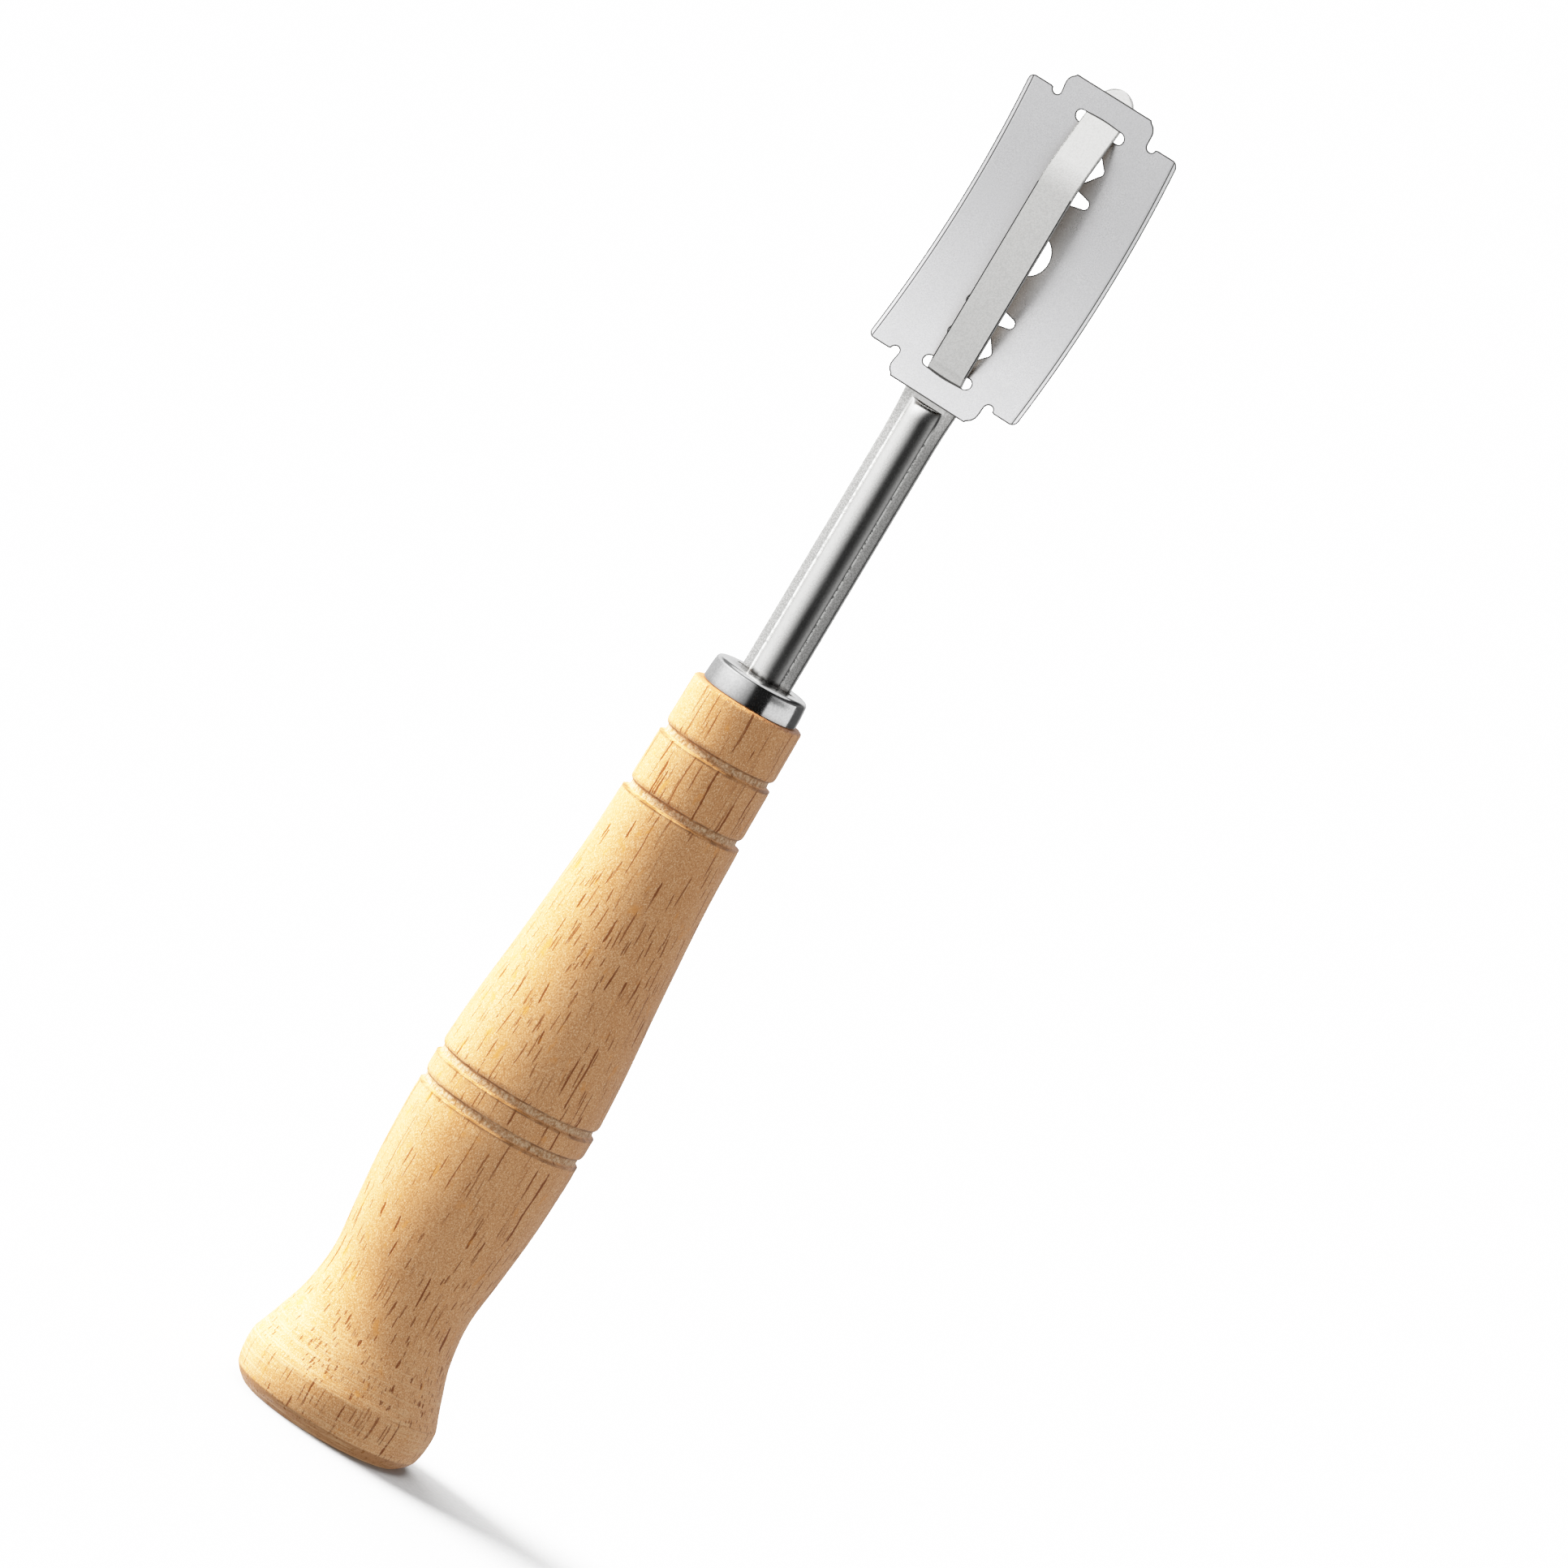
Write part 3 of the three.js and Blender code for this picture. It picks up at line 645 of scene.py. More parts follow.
def flat_blade():
    """The blade's flat face as a bmesh in X and Z, cut into narrow strips so that it can bend."""
    end = blade_end()
    outer = end + [(-x, -length) for x, length in end]
    quarter = cutout_quarter()
    upper = quarter + [(-x, length) for x, length in quarter[-2::-1]]
    inner = upper + [(-x, -length) for x, length in upper[1:-1]]
    flat = bmesh.new()
    loops = []
    corners = []
    for loop, inset in ((outer, OUTLINE), (inner, -OUTLINE)):
        edge = [Vector((x, length, 0.0)) for x, length in loop]
        inside = inset_loop(edge, inset)
        outside_verts = [flat.verts.new((point.x, 0.0, point.y)) for point in edge]
        inside_verts = [flat.verts.new((point.x, 0.0, point.y)) for point in inside]
        for k in range(len(edge)):
            n = (k + 1) % len(edge)
            # A band of near-black painted shade along every edge of the face.
            rim = flat.faces.new((outside_verts[k], outside_verts[n], inside_verts[n], inside_verts[k]))
            rim.material_index = EDGE_SHADE_STEEL
        loops.append(inside)
        corners += inside_verts
    for triangle in geometry.tessellate_polygon(loops):
        flat.faces.new([corners[k] for k in triangle])
    for k in range(-BEND_STRIPS_PER_SIDE, BEND_STRIPS_PER_SIDE + 1):
        slice_at(flat, (0, 0, k * BEND_STRIP), (0, 0, 1))
    for side in (-1, 1):
        for inset, _ in GROUND_FACETS[1:]:
            slice_at(flat, (side * (BLADE_HALF_WIDTH - inset), 0, 0), (1, 0, 0))
    bmesh.ops.recalc_face_normals(flat, faces=flat.faces)
    # By the long edges the outer facet takes the brighter ground steel, and the band just inside it painted
    # shade.
    for face in flat.faces:
        inset = BLADE_HALF_WIDTH - abs(face.calc_center_median().x)
        if face.material_index == FLAT_STEEL and inset < GROUND_FACETS[2][0]:
            face.material_index = GROUND_STEEL
        elif inset < GROUND_FACETS[3][0]:
            face.material_index = EDGE_SHADE_STEEL
    return flat


def slice_at(work, point, normal):
    parts = work.verts[:] + work.edges[:] + work.faces[:]
    bmesh.ops.bisect_plane(work, geom=parts, dist=1e-5, plane_co=point, plane_no=normal)


def ground_thickness(x):
    """Half of the blade's thickness: it is ground to an edge in facets along both long sides."""
    inset = max(0.0, BLADE_HALF_WIDTH - abs(x))
    for (near, thin), (far, thick) in zip(GROUND_FACETS, GROUND_FACETS[1:]):
        if inset < far:
            return mix(thin, thick, (inset - near) / (far - near))
    return BLADE_THICKNESS / 2


def steady_normals(mesh):
    """Normals from the blade's curve and bevels, because those of very thin triangles are unreliable."""
    normals = []
    for face in mesh.polygons:
        face.use_smooth = True
        x, y, z = face.center / MM
        lean = (ground_thickness(x - 0.005) - ground_thickness(x + 0.005)) / 0.01
        turn = math.atan2(z, y + BLADE_RADIUS)
        outwards = face.normal.y * math.cos(turn) + face.normal.z * math.sin(turn)
        side = 1 if outwards > 0 else -1
        on_face = abs(outwards) > 0.7
        for corner in face.loop_indices:
            vert = mesh.vertices[mesh.loops[corner].vertex_index].co / MM
            turn = math.atan2(vert.z, vert.y + BLADE_RADIUS)
            curved = Vector((lean, side * math.cos(turn), side * math.sin(turn))).normalized()
            normals.append(curved if on_face else face.normal.copy())
    mesh.normals_split_custom_set(normals)


def make_blade():
    flat = flat_blade()
    flat.verts.ensure_lookup_table()
    count = len(flat.verts)
    verts = []
    for side in (-1, 1):
        for vert in flat.verts:
            turn = vert.co.z / BLADE_RADIUS
            reach = BLADE_RADIUS + side * ground_thickness(vert.co.x)
            verts.append((vert.co.x, reach * math.cos(turn) - BLADE_RADIUS, reach * math.sin(turn)))
    faces = []
    slots = []
    for face in flat.faces:
        loop = [vert.index for vert in face.verts]
        faces.append(tuple(loop))
        faces.append(tuple(count + k for k in reversed(loop)))
        slots += [face.material_index] * 2
    # The blade's sides, in the near-black painted shade.
    for edge in flat.edges:
        if len(edge.link_faces) == 1:
            a, b = edge.verts[0].index, edge.verts[1].index
            faces.append((a, b, count + b, count + a))
            slots.append(EDGE_SHADE_STEEL)
    flat.free()
    blade = mesh_object("razor_blade", verts, faces, 1.2)
    blade.data.polygons.foreach_set("material_index", slots)
    fix_normals(blade.data)
    steady_normals(blade.data)
    turn = CROSS_SLOT_CENTRE / BLADE_RADIUS
    to_slot = Matrix.Translation(Vector((
        0, BLADE_RADIUS * (1 - math.cos(turn)) * MM, BLADE_RADIUS * math.sin(turn) * MM,
    )))
    lean = Matrix.Rotation(-BLADE_LEAN, 4, "X")
    place = Matrix.Translation(Vector((0, BLADE_SLOT_Y * MM, BLADE_SLOT_Z * MM)))
    blade.data.transform(place @ lean @ to_slot)
    return blade


# Materials


class Nodes:
    """Short names for building a material's nodes."""

    def __init__(self, name):
        self.material = bpy.data.materials.new(name)
        self.material.use_nodes = True
        self.tree = self.material.node_tree
        self.tree.nodes.clear()
        self.shader = self.tree.nodes.new("ShaderNodeBsdfPrincipled")
        output = self.tree.nodes.new("ShaderNodeOutputMaterial")
        self.tree.links.new(self.shader.outputs["BSDF"], output.inputs["Surface"])
        coords = self.tree.nodes.new("ShaderNodeTexCoord")
        self.place = self.scaled(coords.outputs["Object"], (1000.0, 1000.0, 1000.0))

    def put(self, socket, value):
        if isinstance(value, bpy.types.NodeSocket):
            self.tree.links.new(value, socket)
        elif value is not None:
            socket.default_value = value

    def scaled(self, vector, scale, shift=(0.0, 0.0, 0.0)):
        node = self.tree.nodes.new("ShaderNodeMapping")
        self.put(node.inputs["Vector"], vector)
        node.inputs["Scale"].default_value = scale
        node.inputs["Location"].default_value = shift
        return node.outputs["Vector"]

    def noise(self, vector, scale, detail=3.0, roughness=0.5, distortion=0.0, colour=False):
        node = self.tree.nodes.new("ShaderNodeTexNoise")
        self.put(node.inputs["Vector"], vector)
        node.inputs["Scale"].default_value = scale
        node.inputs["Detail"].default_value = detail
        node.inputs["Roughness"].default_value = roughness
        node.inputs["Distortion"].default_value = distortion
        return node.outputs["Color" if colour else "Fac"]

    def distance_to_cell(self, vector, scale):
        """The distance in X and Y to the nearest of the scattered points."""
        node = self.tree.nodes.new("ShaderNodeTexVoronoi")
        node.voronoi_dimensions = "2D"
        self.put(node.inputs["Vector"], vector)
        node.inputs["Scale"].default_value = scale
        return node.outputs["Distance"]

    def ramp(self, value, low, high, out_low=0.0, out_high=1.0):
        """A smooth step from out_low to out_high as the value goes from low to high."""
        node = self.tree.nodes.new("ShaderNodeMapRange")
        node.interpolation_type = "SMOOTHSTEP"
        self.put(node.inputs["Value"], value)
        node.inputs["From Min"].default_value = low
        node.inputs["From Max"].default_value = high
        node.inputs["To Min"].default_value = out_low
        node.inputs["To Max"].default_value = out_high
        return node.outputs["Result"]

    def levels(self, value, low, high, stops):
        """A brightness that follows the stops, each of them a value and the brightness there."""
        node = self.tree.nodes.new("ShaderNodeValToRGB")
        share = self.maths("DIVIDE", self.maths("SUBTRACT", value, low), high - low)
        self.put(node.inputs["Fac"], share)
        elements = node.color_ramp.elements
        while len(elements) < len(stops):
            elements.new(0.5)
        for element, (place, bright) in zip(elements, stops):
            element.position = (place - low) / (high - low)
            element.color = (bright, bright, bright, 1.0)
        return node.outputs["Color"]

    def maths(self, operation, a, b=None, c=None):
        node = self.tree.nodes.new("ShaderNodeMath")
        node.operation = operation
        for socket, value in zip(node.inputs, (a, b, c)):
            self.put(socket, value)
        return node.outputs["Value"]

    def vectors(self, operation, a, b):
        node = self.tree.nodes.new("ShaderNodeVectorMath")
        node.operation = operation
        self.put(node.inputs[0], a)
        self.put(node.inputs[1], b)
        return node.outputs["Vector"]

    def blend(self, factor, a, b, mode="MIX"):
        node = self.tree.nodes.new("ShaderNodeMix")
        node.data_type = "RGBA"
        node.blend_type = mode
        self.put(node.inputs["Factor"], factor)
        self.put(node.inputs["A"], a if isinstance(a, bpy.types.NodeSocket) else (*a, 1.0))
        self.put(node.inputs["B"], b if isinstance(b, bpy.types.NodeSocket) else (*b, 1.0))
        return node.outputs["Result"]

    def split(self, vector):
        node = self.tree.nodes.new("ShaderNodeSeparateXYZ")
        self.put(node.inputs["Vector"], vector)
        return node.outputs["X"], node.outputs["Y"], node.outputs["Z"]

    def bump(self, height, distance_mm, strength=1.0, below=None):
        node = self.tree.nodes.new("ShaderNodeBump")
        self.put(node.inputs["Height"], height)
        node.inputs["Distance"].default_value = distance_mm * MM
        node.inputs["Strength"].default_value = strength
        self.put(node.inputs["Normal"], below)
        return node.outputs["Normal"]

    def band(self, value, centre, half, soft):
        """1 within half of the centre, falling smoothly to 0 over the soft distance."""
        away = self.maths("ABSOLUTE", self.maths("SUBTRACT", value, centre))
        return self.ramp(away, half, half + soft, 1.0, 0.0)

    def finish(self, colour, roughness, metallic=0.0, normal=None):
        inputs = self.shader.inputs
        self.put(inputs["Base Color"], colour)
        self.put(inputs["Roughness"], roughness)
        self.put(inputs["Metallic"], metallic)
        self.put(inputs["Normal"], normal)
        return self.material


def vessels(nodes, scale, radius, seed, wander):
    """Long thin pores up the wood: dashes where the surface runs along them, dots where it cuts them."""
    drift_place = nodes.scaled(nodes.place, (0.35, 0.35, 0.13), (seed, seed * 0.7, seed * 0.3))
    drift = nodes.noise(drift_place, 1.0, 1.0, colour=True)
    moved = nodes.vectors("SUBTRACT", drift, (0.5, 0.5, 0.5))
    moved = nodes.vectors("MULTIPLY", moved, (wander, wander, 0.0))
    line = nodes.vectors("ADD", nodes.place, moved)
    line = nodes.vectors("ADD", line, (seed * 3.1, seed * 1.7, 0.0))
    distance = nodes.distance_to_cell(line, scale)
    ragged = nodes.noise(nodes.scaled(nodes.place, (1.0, 1.0, 0.45)), 3.5, 2.0)
    distance = nodes.maths("ADD", distance, nodes.maths("MULTIPLY_ADD", ragged, 0.14, -0.07))
    return nodes.ramp(distance, radius * scale * 0.85, radius * scale * 1.2, 1.0, 0.0)


def wood_figure(nodes, grit):
    """The wood's own colour: broad and narrow streaks along the grain, and a fine grit."""
    along_grain = nodes.scaled(nodes.place, (1.0, 1.0, 0.12))
    broad = nodes.noise(along_grain, 0.14, 3.0, 0.5)
    streaks = nodes.noise(along_grain, 0.8, 3.0, 0.5)
    colour = nodes.blend(nodes.ramp(broad, 0.3, 0.7), (0.71, 0.302, 0.098), (0.82, 0.372, 0.138))
    colour = nodes.blend(nodes.ramp(streaks, 0.4, 0.75, 0.0, 0.5), colour, (0.60, 0.22, 0.055))
    colour = nodes.blend(nodes.ramp(grit, 0.46, 0.62, 0.0, 0.8), colour, (0.43, 0.155, 0.04))
    return nodes.blend(nodes.ramp(grit, 0.36, 0.47, 0.9, 0.0), colour, (0.98, 0.60, 0.32))


def wood_pores(nodes):
    """Where the pores are: many fine ones in patches, and fewer coarse ones of uneven depth."""
    place = nodes.place
    fine = vessels(nodes, 1.5, 0.085, 1.3, 0.8)
    coarse = vessels(nodes, 0.75, 0.135, 7.9, 1.2)
    patch = nodes.noise(nodes.scaled(place, (1.0, 1.0, 0.3), (5.0, 2.0, 9.0)), 0.22, 2.0)
    fine = nodes.maths("MULTIPLY", fine, nodes.ramp(patch, 0.36, 0.55, 0.1, 0.8))
    strength = nodes.noise(nodes.scaled(place, (1.0, 1.0, 0.2), (1.0, 12.0, 3.0)), 0.6, 1.0)
    coarse = nodes.maths("MULTIPLY", coarse, nodes.ramp(strength, 0.38, 0.55, 0.3, 0.95))
    return nodes.maths("MAXIMUM", fine, coarse)


def groove_bands(nodes, height):
    """Where the grooves' floors and their lips are."""
    floors = 0.0
    lips = 0.0
    for z, _, _, _ in GROOVES:
        floors = nodes.maths("MAXIMUM", floors, nodes.band(height, z - 0.02, 0.38, 0.25))
        lips = nodes.maths("MAXIMUM", lips, nodes.band(height, z - 0.82, 0.08, 0.22))
        lips = nodes.maths("MAXIMUM", lips, nodes.band(height, z + 0.42, 0.05, 0.12))
    return floors, lips


def turning_marks_and_painted_shade(nodes, colour, height, torn, floors, lips):
    """The colour with torn groove floors, darker bands at the grooves' edges, painted shade on the foot's
    rounding and in the crease above it, and a ragged darker band on the shoulder by the cup.
    """
    floor_colour = nodes.blend(nodes.ramp(torn, 0.4, 0.65), (0.36, 0.16, 0.05), (0.86, 0.62, 0.38))
    colour = nodes.blend(nodes.maths("MULTIPLY", floors, 0.75), colour, floor_colour)
    uneven = nodes.ramp(nodes.noise(nodes.place, 0.5, 2.0), 0.35, 0.65, 0.35, 1.0)
    # Darker bands along the grooves' edges, uneven around.
    lip_darkening = nodes.maths("MULTIPLY", lips, uneven)
    colour = nodes.blend(nodes.maths("MULTIPLY", lip_darkening, 0.95), colour, (0.22, 0.08, 0.018))
    # Painted shade: the foot's rounding, which faces the floor, is darker.
    foot = nodes.ramp(height, FOOT_EDGE_Z - 0.05, FOOT_EDGE_Z + 0.2, 1.0, 0.0)
    colour = nodes.blend(nodes.maths("MULTIPLY", foot, 0.75), colour, (0.34, 0.125, 0.026))
    # Painted shade along the crease at the top of the foot band.
    crease = nodes.maths("MULTIPLY", nodes.band(height, CREASE_Z, 0.03, 0.14), uneven)
    colour = nodes.blend(nodes.maths("MULTIPLY", crease, 0.4), colour, (0.30, 0.12, 0.035))
    # A ragged darker band on the shoulder, round the cup's foot.
    ragged_height = nodes.maths("MULTIPLY_ADD", torn, 0.9, height)
    shoulder = nodes.band(ragged_height, SHOULDER_Z + 0.45, 0.12, 0.2)
    return nodes.blend(nodes.maths("MULTIPLY", shoulder, 0.75), colour, (0.30, 0.10, 0.03))


def wood_material():
    nodes = Nodes("turned_wood")
    place = nodes.place
    _, _, height = nodes.split(place)
    grit = nodes.noise(nodes.scaled(place, (1.0, 1.0, 0.6)), 7.5, 3.0, 0.8)
    torn = nodes.noise(nodes.scaled(place, (1.0, 1.0, 0.8)), 2.6, 4.0, 0.7)
    resin = nodes.noise(nodes.scaled(place, (1.0, 1.0, 0.45), (20.0, 3.0, 1.0)), 0.75, 2.0)
    rings = nodes.noise(nodes.scaled(place, (0.04, 0.04, 1.0)), 3.2, 3.0, 0.7)
    pores = wood_pores(nodes)
    floors, lips = groove_bands(nodes, height)

    colour = wood_figure(nodes, grit)
    colour = nodes.blend(nodes.maths("MULTIPLY", pores, 0.95), colour, (0.20, 0.046, 0.008))
    colour = nodes.blend(nodes.ramp(resin, 0.62, 0.73, 0.0, 0.55), colour, (0.74, 0.25, 0.035))
    colour = turning_marks_and_painted_shade(nodes, colour, height, torn, floors, lips)
    near_butt = nodes.ramp(height, 8.0, 16.0, 0.3, 0.0)
    ring_share = nodes.maths("MULTIPLY", nodes.ramp(rings, 0.5, 0.62), near_butt)
    colour = nodes.blend(ring_share, colour, (0.95, 0.6, 0.3))

    relief = nodes.maths("MULTIPLY", rings, nodes.ramp(height, 8.0, 18.0, 1.1, 0.35))
    relief = nodes.maths("ADD", relief, nodes.maths("MULTIPLY", grit, 0.6))
    torn_floors = nodes.maths("MULTIPLY", floors, torn)
    relief = nodes.maths("ADD", relief, nodes.maths("MULTIPLY", torn_floors, 3.0))
    normal = nodes.bump(relief, 0.05, 0.9)
    normal = nodes.bump(nodes.maths("MULTIPLY", pores, -1.0), 0.08, 0.9, normal)
    gloss = nodes.maths("MULTIPLY_ADD", pores, -0.4, 0.5)
    nodes.put(nodes.shader.inputs["Specular IOR Level"], gloss)
    return nodes.finish(colour, nodes.ramp(grit, 0.3, 0.7, 0.44, 0.6), 0.0, normal)


def painted_hollow_shade(nodes, tone, shade):
    """The tone with brownish-grey painted shade where other surfaces stand close, found by ambient
    occlusion.
    """
    openness = nodes.tree.nodes.new("ShaderNodeAmbientOcclusion")
    openness.samples = 8
    openness.inputs["Distance"].default_value = 6.0 * MM
    dark = nodes.ramp(openness.outputs["AO"], 0.4, 0.9, shade, 0.0)
    return nodes.blend(dark, tone, (0.16, 0.125, 0.095))


def rib_dulling_highlight_and_shade(nodes, tone, darker, grain, highlight_line):
    """The tone with duller flanges, painted highlight at the rib's feet, painted shade at the cup; and the
    line.
    """
    x, _, height = nodes.split(nodes.place)
    away = nodes.maths("ABSOLUTE", x)
    flange = nodes.ramp(away, highlight_line, highlight_line + 0.2)
    dull = nodes.maths("MULTIPLY", flange, nodes.ramp(grain, 0.42, 0.56, 0.0, 0.6))
    tone = nodes.blend(dull, tone, darker, "MULTIPLY")

    # Painted highlight: a pale line, not metal, along the rib's feet, broken up and fading out from 139 to
    # 141 mm.
    line = nodes.band(away, highlight_line, 0.07, 0.07)
    line = nodes.maths("MULTIPLY", line, nodes.ramp(height, 139.0, 141.0, 1.0, 0.0))
    broken = nodes.ramp(nodes.noise(nodes.place, 2.6, 3.0, 0.7), 0.4, 0.5, 0.15, 1.0)
    line = nodes.maths("MULTIPLY", line, broken)
    tone = nodes.blend(line, tone, (0.9, 0.9, 0.88))

    # Painted shade: a patchy near-black band just above the cup, where the stem goes in.
    at_cup = nodes.ramp(height, CUP_TOP + 0.05, CUP_TOP + 0.7, 1.0, 0.0)
    patchy = nodes.ramp(nodes.noise(nodes.place, 0.9, 2.0), 0.35, 0.6, 0.3, 1.0)
    painted_contact_shade = nodes.maths("MULTIPLY", at_cup, patchy)
    return nodes.blend(nodes.maths("MULTIPLY", painted_contact_shade, 0.9), tone, (0.06, 0.055, 0.05)), line


def steel_material(name, colour, roughness, grain_mm, grain_depth_mm, shade=0.0, highlight_line=0.0):
    """Plain steel with a fine grain, small stains and an uneven shine.

    Shade is how much painted shade darkens it where it is hemmed in. The last argument is how far the rib's
    feet are from the middle; it brings a painted highlight line there, painted shade at the cup and duller
    flanges.
    """
    nodes = Nodes(name)
    grain = nodes.noise(nodes.place, 1.0 / grain_mm, 3.0, 0.7)
    cloud = nodes.noise(nodes.place, 0.25, 3.0, 0.6)
    spots = nodes.noise(nodes.scaled(nodes.place, (1.0, 1.0, 1.0), (4.0, 8.0, 2.0)), 1.6, 4.0, 0.7)
    darker = tuple(0.8 * part for part in colour)
    tone = nodes.blend(nodes.ramp(grain, 0.4, 0.62, 0.0, 0.7), colour, darker)
    tone = nodes.blend(nodes.ramp(spots, 0.62, 0.75, 0.0, 0.4), tone, darker)
    shine = nodes.ramp(cloud, 0.3, 0.7, roughness * 0.88, roughness * 1.12)
    metal = 1.0
    if shade:
        tone = painted_hollow_shade(nodes, tone, shade)
    if highlight_line:
        tone, line = rib_dulling_highlight_and_shade(nodes, tone, darker, grain, highlight_line)
        # The painted highlight line is not metal, so that it shows pale.
        metal = nodes.maths("SUBTRACT", 1.0, line)
    return nodes.finish(tone, shine, metal, nodes.bump(grain, grain_depth_mm, 1.0))


# Studio


def make_floor():
    """The floor, which has lamps of its own so that its shadow can be softer than the object's."""
    half = BACKDROP_RADIUS
    corners = [(-half, -half, -0.02), (half, -half, -0.02), (half, half, -0.02), (-half, half, -0.02)]
    floor = mesh_object("floor", corners, [(0, 1, 2, 3)])
    nodes = Nodes("pale_paper")
    speck = nodes.noise(nodes.place, 1.4, 3.0, 0.7)
    colour = nodes.blend(nodes.ramp(speck, 0.3, 0.7), (0.285, 0.285, 0.285), (0.315, 0.315, 0.315))
    nodes.shader.inputs["Specular IOR Level"].default_value = 0.0
    floor.data.materials.append(nodes.finish(colour, 0.8, 0.0, nodes.bump(speck, 0.05, 0.4)))
    floor.visible_diffuse = False
    return floor


def view_axes():
    """Right, up and back of a level camera at the azimuth and elevation of the view."""
    right = Vector((math.cos(VIEW_AZIMUTH), math.sin(VIEW_AZIMUTH), 0.0))
    back = Vector((
        math.sin(VIEW_AZIMUTH) * math.cos(VIEW_ELEVATION),
        -math.cos(VIEW_AZIMUTH) * math.cos(VIEW_ELEVATION),
        math.sin(VIEW_ELEVATION),
    ))
    return right, back.cross(right), back


def make_camera():
    right, up, back = view_axes()
    image_right = right * math.cos(VIEW_ROLL) + up * math.sin(VIEW_ROLL)
    image_up = up * math.cos(VIEW_ROLL) - right * math.sin(VIEW_ROLL)
    data = bpy.data.cameras.new("camera")
    data.lens = LENS
    data.sensor_width = SENSOR
    data.clip_start = 0.1
    data.clip_end = 30.0
    camera = bpy.data.objects.new("camera", data)
    bpy.context.scene.collection.objects.link(camera)
    target = Vector((0, 0, VIEW_CENTRE_Z * MM)) + right * VIEW_CENTRE_RIGHT * MM
    turn = Matrix((image_right, image_up, back)).transposed()
    distance = VIEW_WIDTH * MM * LENS / SENSOR
    camera.matrix_world = Matrix.Translation(target + back * distance) @ turn.to_4x4()
    bpy.context.scene.camera = camera


def make_world():
    world = bpy.data.worlds.new("studio")
    world.use_nodes = True
    bpy.context.scene.world = world
    tree = world.node_tree
    tree.nodes.clear()
    output = tree.nodes.new("ShaderNodeOutputWorld")
    background = tree.nodes.new("ShaderNodeBackground")
    tree.links.new(background.outputs["Background"], output.inputs["Surface"])
    background.inputs["Color"].default_value = (1.0, 1.0, 1.0, 1.0)
    background.inputs["Strength"].default_value = WORLD_STRENGTH


def make_lamp(name, towards_right, towards_viewer, upward, energy, spread):
    """A soft far lamp. It doesn't show in the steel, where only the tents do."""
    right, _, back = view_axes()
    level_back = Vector((back.x, back.y, 0)).normalized()
    lamp = bpy.data.lights.new(name, "SUN")
    lamp.energy = energy
    lamp.angle = math.radians(spread)
    obj = bpy.data.objects.new(name, lamp)
    bpy.context.scene.collection.objects.link(obj)
    source = right * towards_right + level_back * towards_viewer + Vector((0, 0, upward))
    obj.rotation_mode = "QUATERNION"
    obj.rotation_quaternion = source.normalized().to_track_quat("Z", "Y")
    obj.visible_glossy = False
    return obj


def light_link(source, state, *receivers):
    """With INCLUDE the source lights the receivers only, and with EXCLUDE everything but them."""
    group = bpy.data.collections.new(source.name + "_receivers")
    for receiver in receivers:
        group.objects.link(receiver)
    for link in group.collection_objects:
        link.light_linking.link_state = state
    source.light_linking.receiver_collection = group


def emitter(name, strength, clear=False):
    """A material that gives out light and, if clear, lets light through. Returns its nodes and light."""
    nodes = Nodes(name)
    nodes.tree.nodes.remove(nodes.shader)
    light = nodes.tree.nodes.new("ShaderNodeEmission")
    light.inputs["Strength"].default_value = strength
    surface = light.outputs["Emission"]
    if clear:
        both = nodes.tree.nodes.new("ShaderNodeAddShader")
        through = nodes.tree.nodes.new("ShaderNodeBsdfTransparent")
        nodes.tree.links.new(surface, both.inputs[0])
        nodes.tree.links.new(through.outputs["BSDF"], both.inputs[1])
        surface = both.outputs["Shader"]
    output = next(node for node in nodes.tree.nodes if node.type == "OUTPUT_MATERIAL")
    nodes.tree.links.new(surface, output.inputs["Surface"])
    nodes.material.cycles.emission_sampling = "NONE"
    return nodes, light


def seen_only(obj, camera=False, glossy=False):
    obj.visible_camera = camera
    obj.visible_glossy = glossy
    obj.visible_diffuse = False
    obj.visible_shadow = False
    obj.visible_transmission = False
    obj.visible_volume_scatter = False


def make_tent(name, radius, brightness, lift, roof=0.0, clear=False):
    """A paper tent round the object, bright by direction and height. It is seen only in reflections."""
    low = 0.25 + (OUTER_TENT_RADIUS - radius) / 20
    profile = [(12.0, low), (radius, low), (radius, radius * 1.25), (0.0, radius * 1.6)]
    tent = turned(name, profile, 96)
    tent.rotation_euler.z = VIEW_AZIMUTH
    nodes, light = emitter(name + "_paper", 1.0, clear)
    x, y, height = nodes.split(nodes.place)
    turn = nodes.maths("ARCTAN2", x, nodes.maths("MULTIPLY", y, -1.0))
    degrees = nodes.maths("MULTIPLY", turn, 180.0 / math.pi)
    around = nodes.levels(degrees, -180.0, 180.0, brightness)
    upwards = nodes.levels(height, 0.0, 1000.0, lift)
    overhead = nodes.ramp(height, radius * 1.2, radius * 1.3, 0.0, roof)
    nodes.put(light.inputs["Strength"], nodes.maths("MULTIPLY_ADD", around, upwards, overhead))
    tent.data.materials.append(nodes.material)
    seen_only(tent, glossy=True)
    return tent


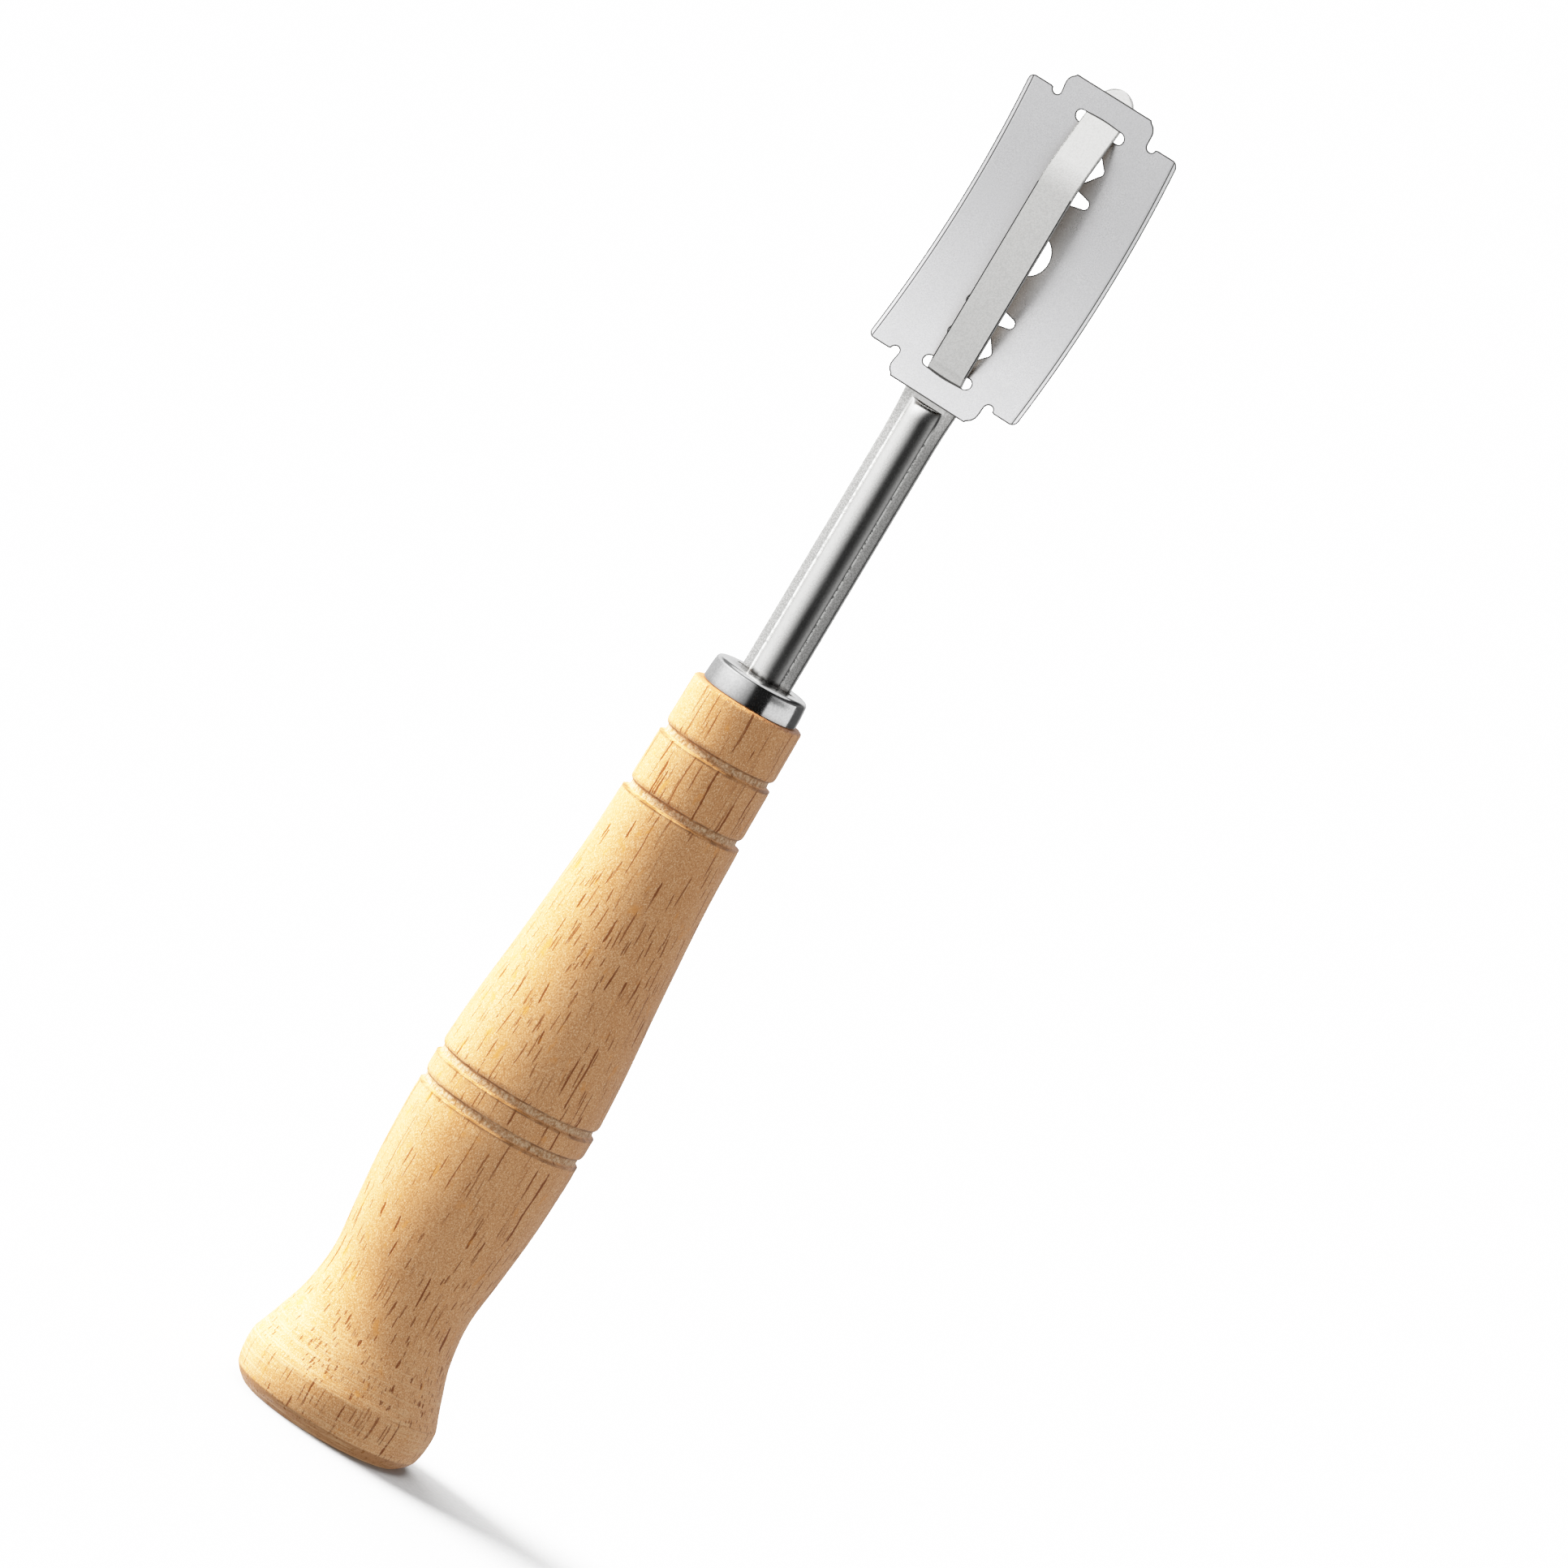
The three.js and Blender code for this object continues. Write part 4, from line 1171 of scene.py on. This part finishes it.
def make_stripe():
    """A long bright slit low on the right, inside the cup's tent."""
    verts = []
    count = 24
    for k in range(count + 1):
        turn = math.radians(mix(STRIPE_FROM, STRIPE_TO, k / count))
        x, y = STRIPE_RADIUS * math.sin(turn), -STRIPE_RADIUS * math.cos(turn)
        verts += [(x, y, STRIPE_LOW), (x, y, STRIPE_HIGH)]
    faces = [(2 * k, 2 * k + 2, 2 * k + 3, 2 * k + 1) for k in range(count)]
    stripe = mesh_object("reflected_slit", verts, faces)
    stripe.rotation_euler.z = VIEW_AZIMUTH
    nodes, _ = emitter("slit_light", STRIPE_LIGHT, clear=True)
    stripe.data.materials.append(nodes.material)
    seen_only(stripe, glossy=True)
    return stripe


def make_backdrop():
    """White all round behind the floor, for the camera only."""
    turns = [k * math.pi / 16 for k in range(-1, 8)]
    profile = [(BACKDROP_RADIUS * math.cos(turn), BACKDROP_RADIUS * math.sin(turn)) for turn in turns]
    backdrop = turned("backdrop", profile + [(0.0, BACKDROP_RADIUS)], 48)
    nodes, _ = emitter("backdrop_white", FILM_WHITE)
    backdrop.data.materials.append(nodes.material)
    seen_only(backdrop, camera=True)


def make_tone():
    """A film's response: bright parts are held back and pale, dark parts keep their depth."""
    settings = bpy.context.scene.view_settings
    settings.view_transform = "Standard"
    settings.use_curve_mapping = True
    mapping = settings.curve_mapping
    mapping.use_clip = False
    mapping.clip_max_x = FILM_WHITE
    curve = mapping.curves[3]
    curve.points[1].location = (FILM_WHITE, 1.0)
    for step in range(1, 16):
        light = FILM_WHITE * (step / 16) ** 2
        curve.points.new(light, (1 - math.exp(-light)) / (1 - math.exp(-FILM_WHITE)))
    mapping.update()


def make_studio(cup, stem):
    """The light. The cup, the stem and everything else each have what they reflect set on its own."""
    floor = make_floor()
    make_camera()
    make_world()
    light_link(make_lamp("key", *KEY_LAMP), "EXCLUDE", floor)
    for number, lamp in enumerate(FLOOR_LAMPS):
        light_link(make_lamp("floor_lamp_" + str(number + 1), *lamp), "INCLUDE", floor)
    light_link(make_stripe(), "INCLUDE", cup)
    light_link(make_tent("cup_tent", 580.0, CUP_TENT, CUP_LIFT, 1.2, clear=True), "INCLUDE", cup)
    light_link(make_tent("stem_tent", 590.0, STEM_TENT, STEM_LIFT, clear=True), "INCLUDE", stem)
    light_link(make_tent("tent", OUTER_TENT_RADIUS, BLADE_TENT, BLADE_LIFT), "EXCLUDE", cup, stem)
    make_backdrop()
    make_tone()


# Assembly

handle = make_handle()
handle.data.materials.append(wood_material())
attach(handle, "handle_and_stem")
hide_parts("handle")

cup = make_cup()
cup.data.materials.clear()
# The cup gets painted shade where it is hemmed in.
cup.data.materials.append(steel_material("plated_steel", (0.75, 0.75, 0.75), 0.13, 0.3, 0.003, 0.8))
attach(cup, "handle_and_stem")
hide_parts("ferrule")

stem = make_stem()
# The stem gets a painted highlight line along the rib's feet and painted shade just above the cup.
stem.data.materials.append(steel_material("spring_steel", (0.79, 0.785, 0.77), 0.21, 0.2, 0.005, 0.0, 2.24))
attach(stem, "handle_and_stem")
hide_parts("stem")

blade = make_blade()
# The blade gets painted shade where it is hemmed in, most under the bow.
blade.data.materials.append(steel_material("blade_steel", (0.66, 0.66, 0.67), 0.28, 0.16, 0.0015, 0.95))
# Near-black painted shade for the blade's sides and edge bands.
blade.data.materials.append(steel_material("edge_steel_painted_dark", (0.07, 0.068, 0.066), 0.4, 0.2, 0.002))
blade.data.materials.append(steel_material("ground_steel", (0.86, 0.86, 0.87), 0.16, 0.16, 0.001))
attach(blade, "blade")
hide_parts("blade")

make_studio(cup, stem)
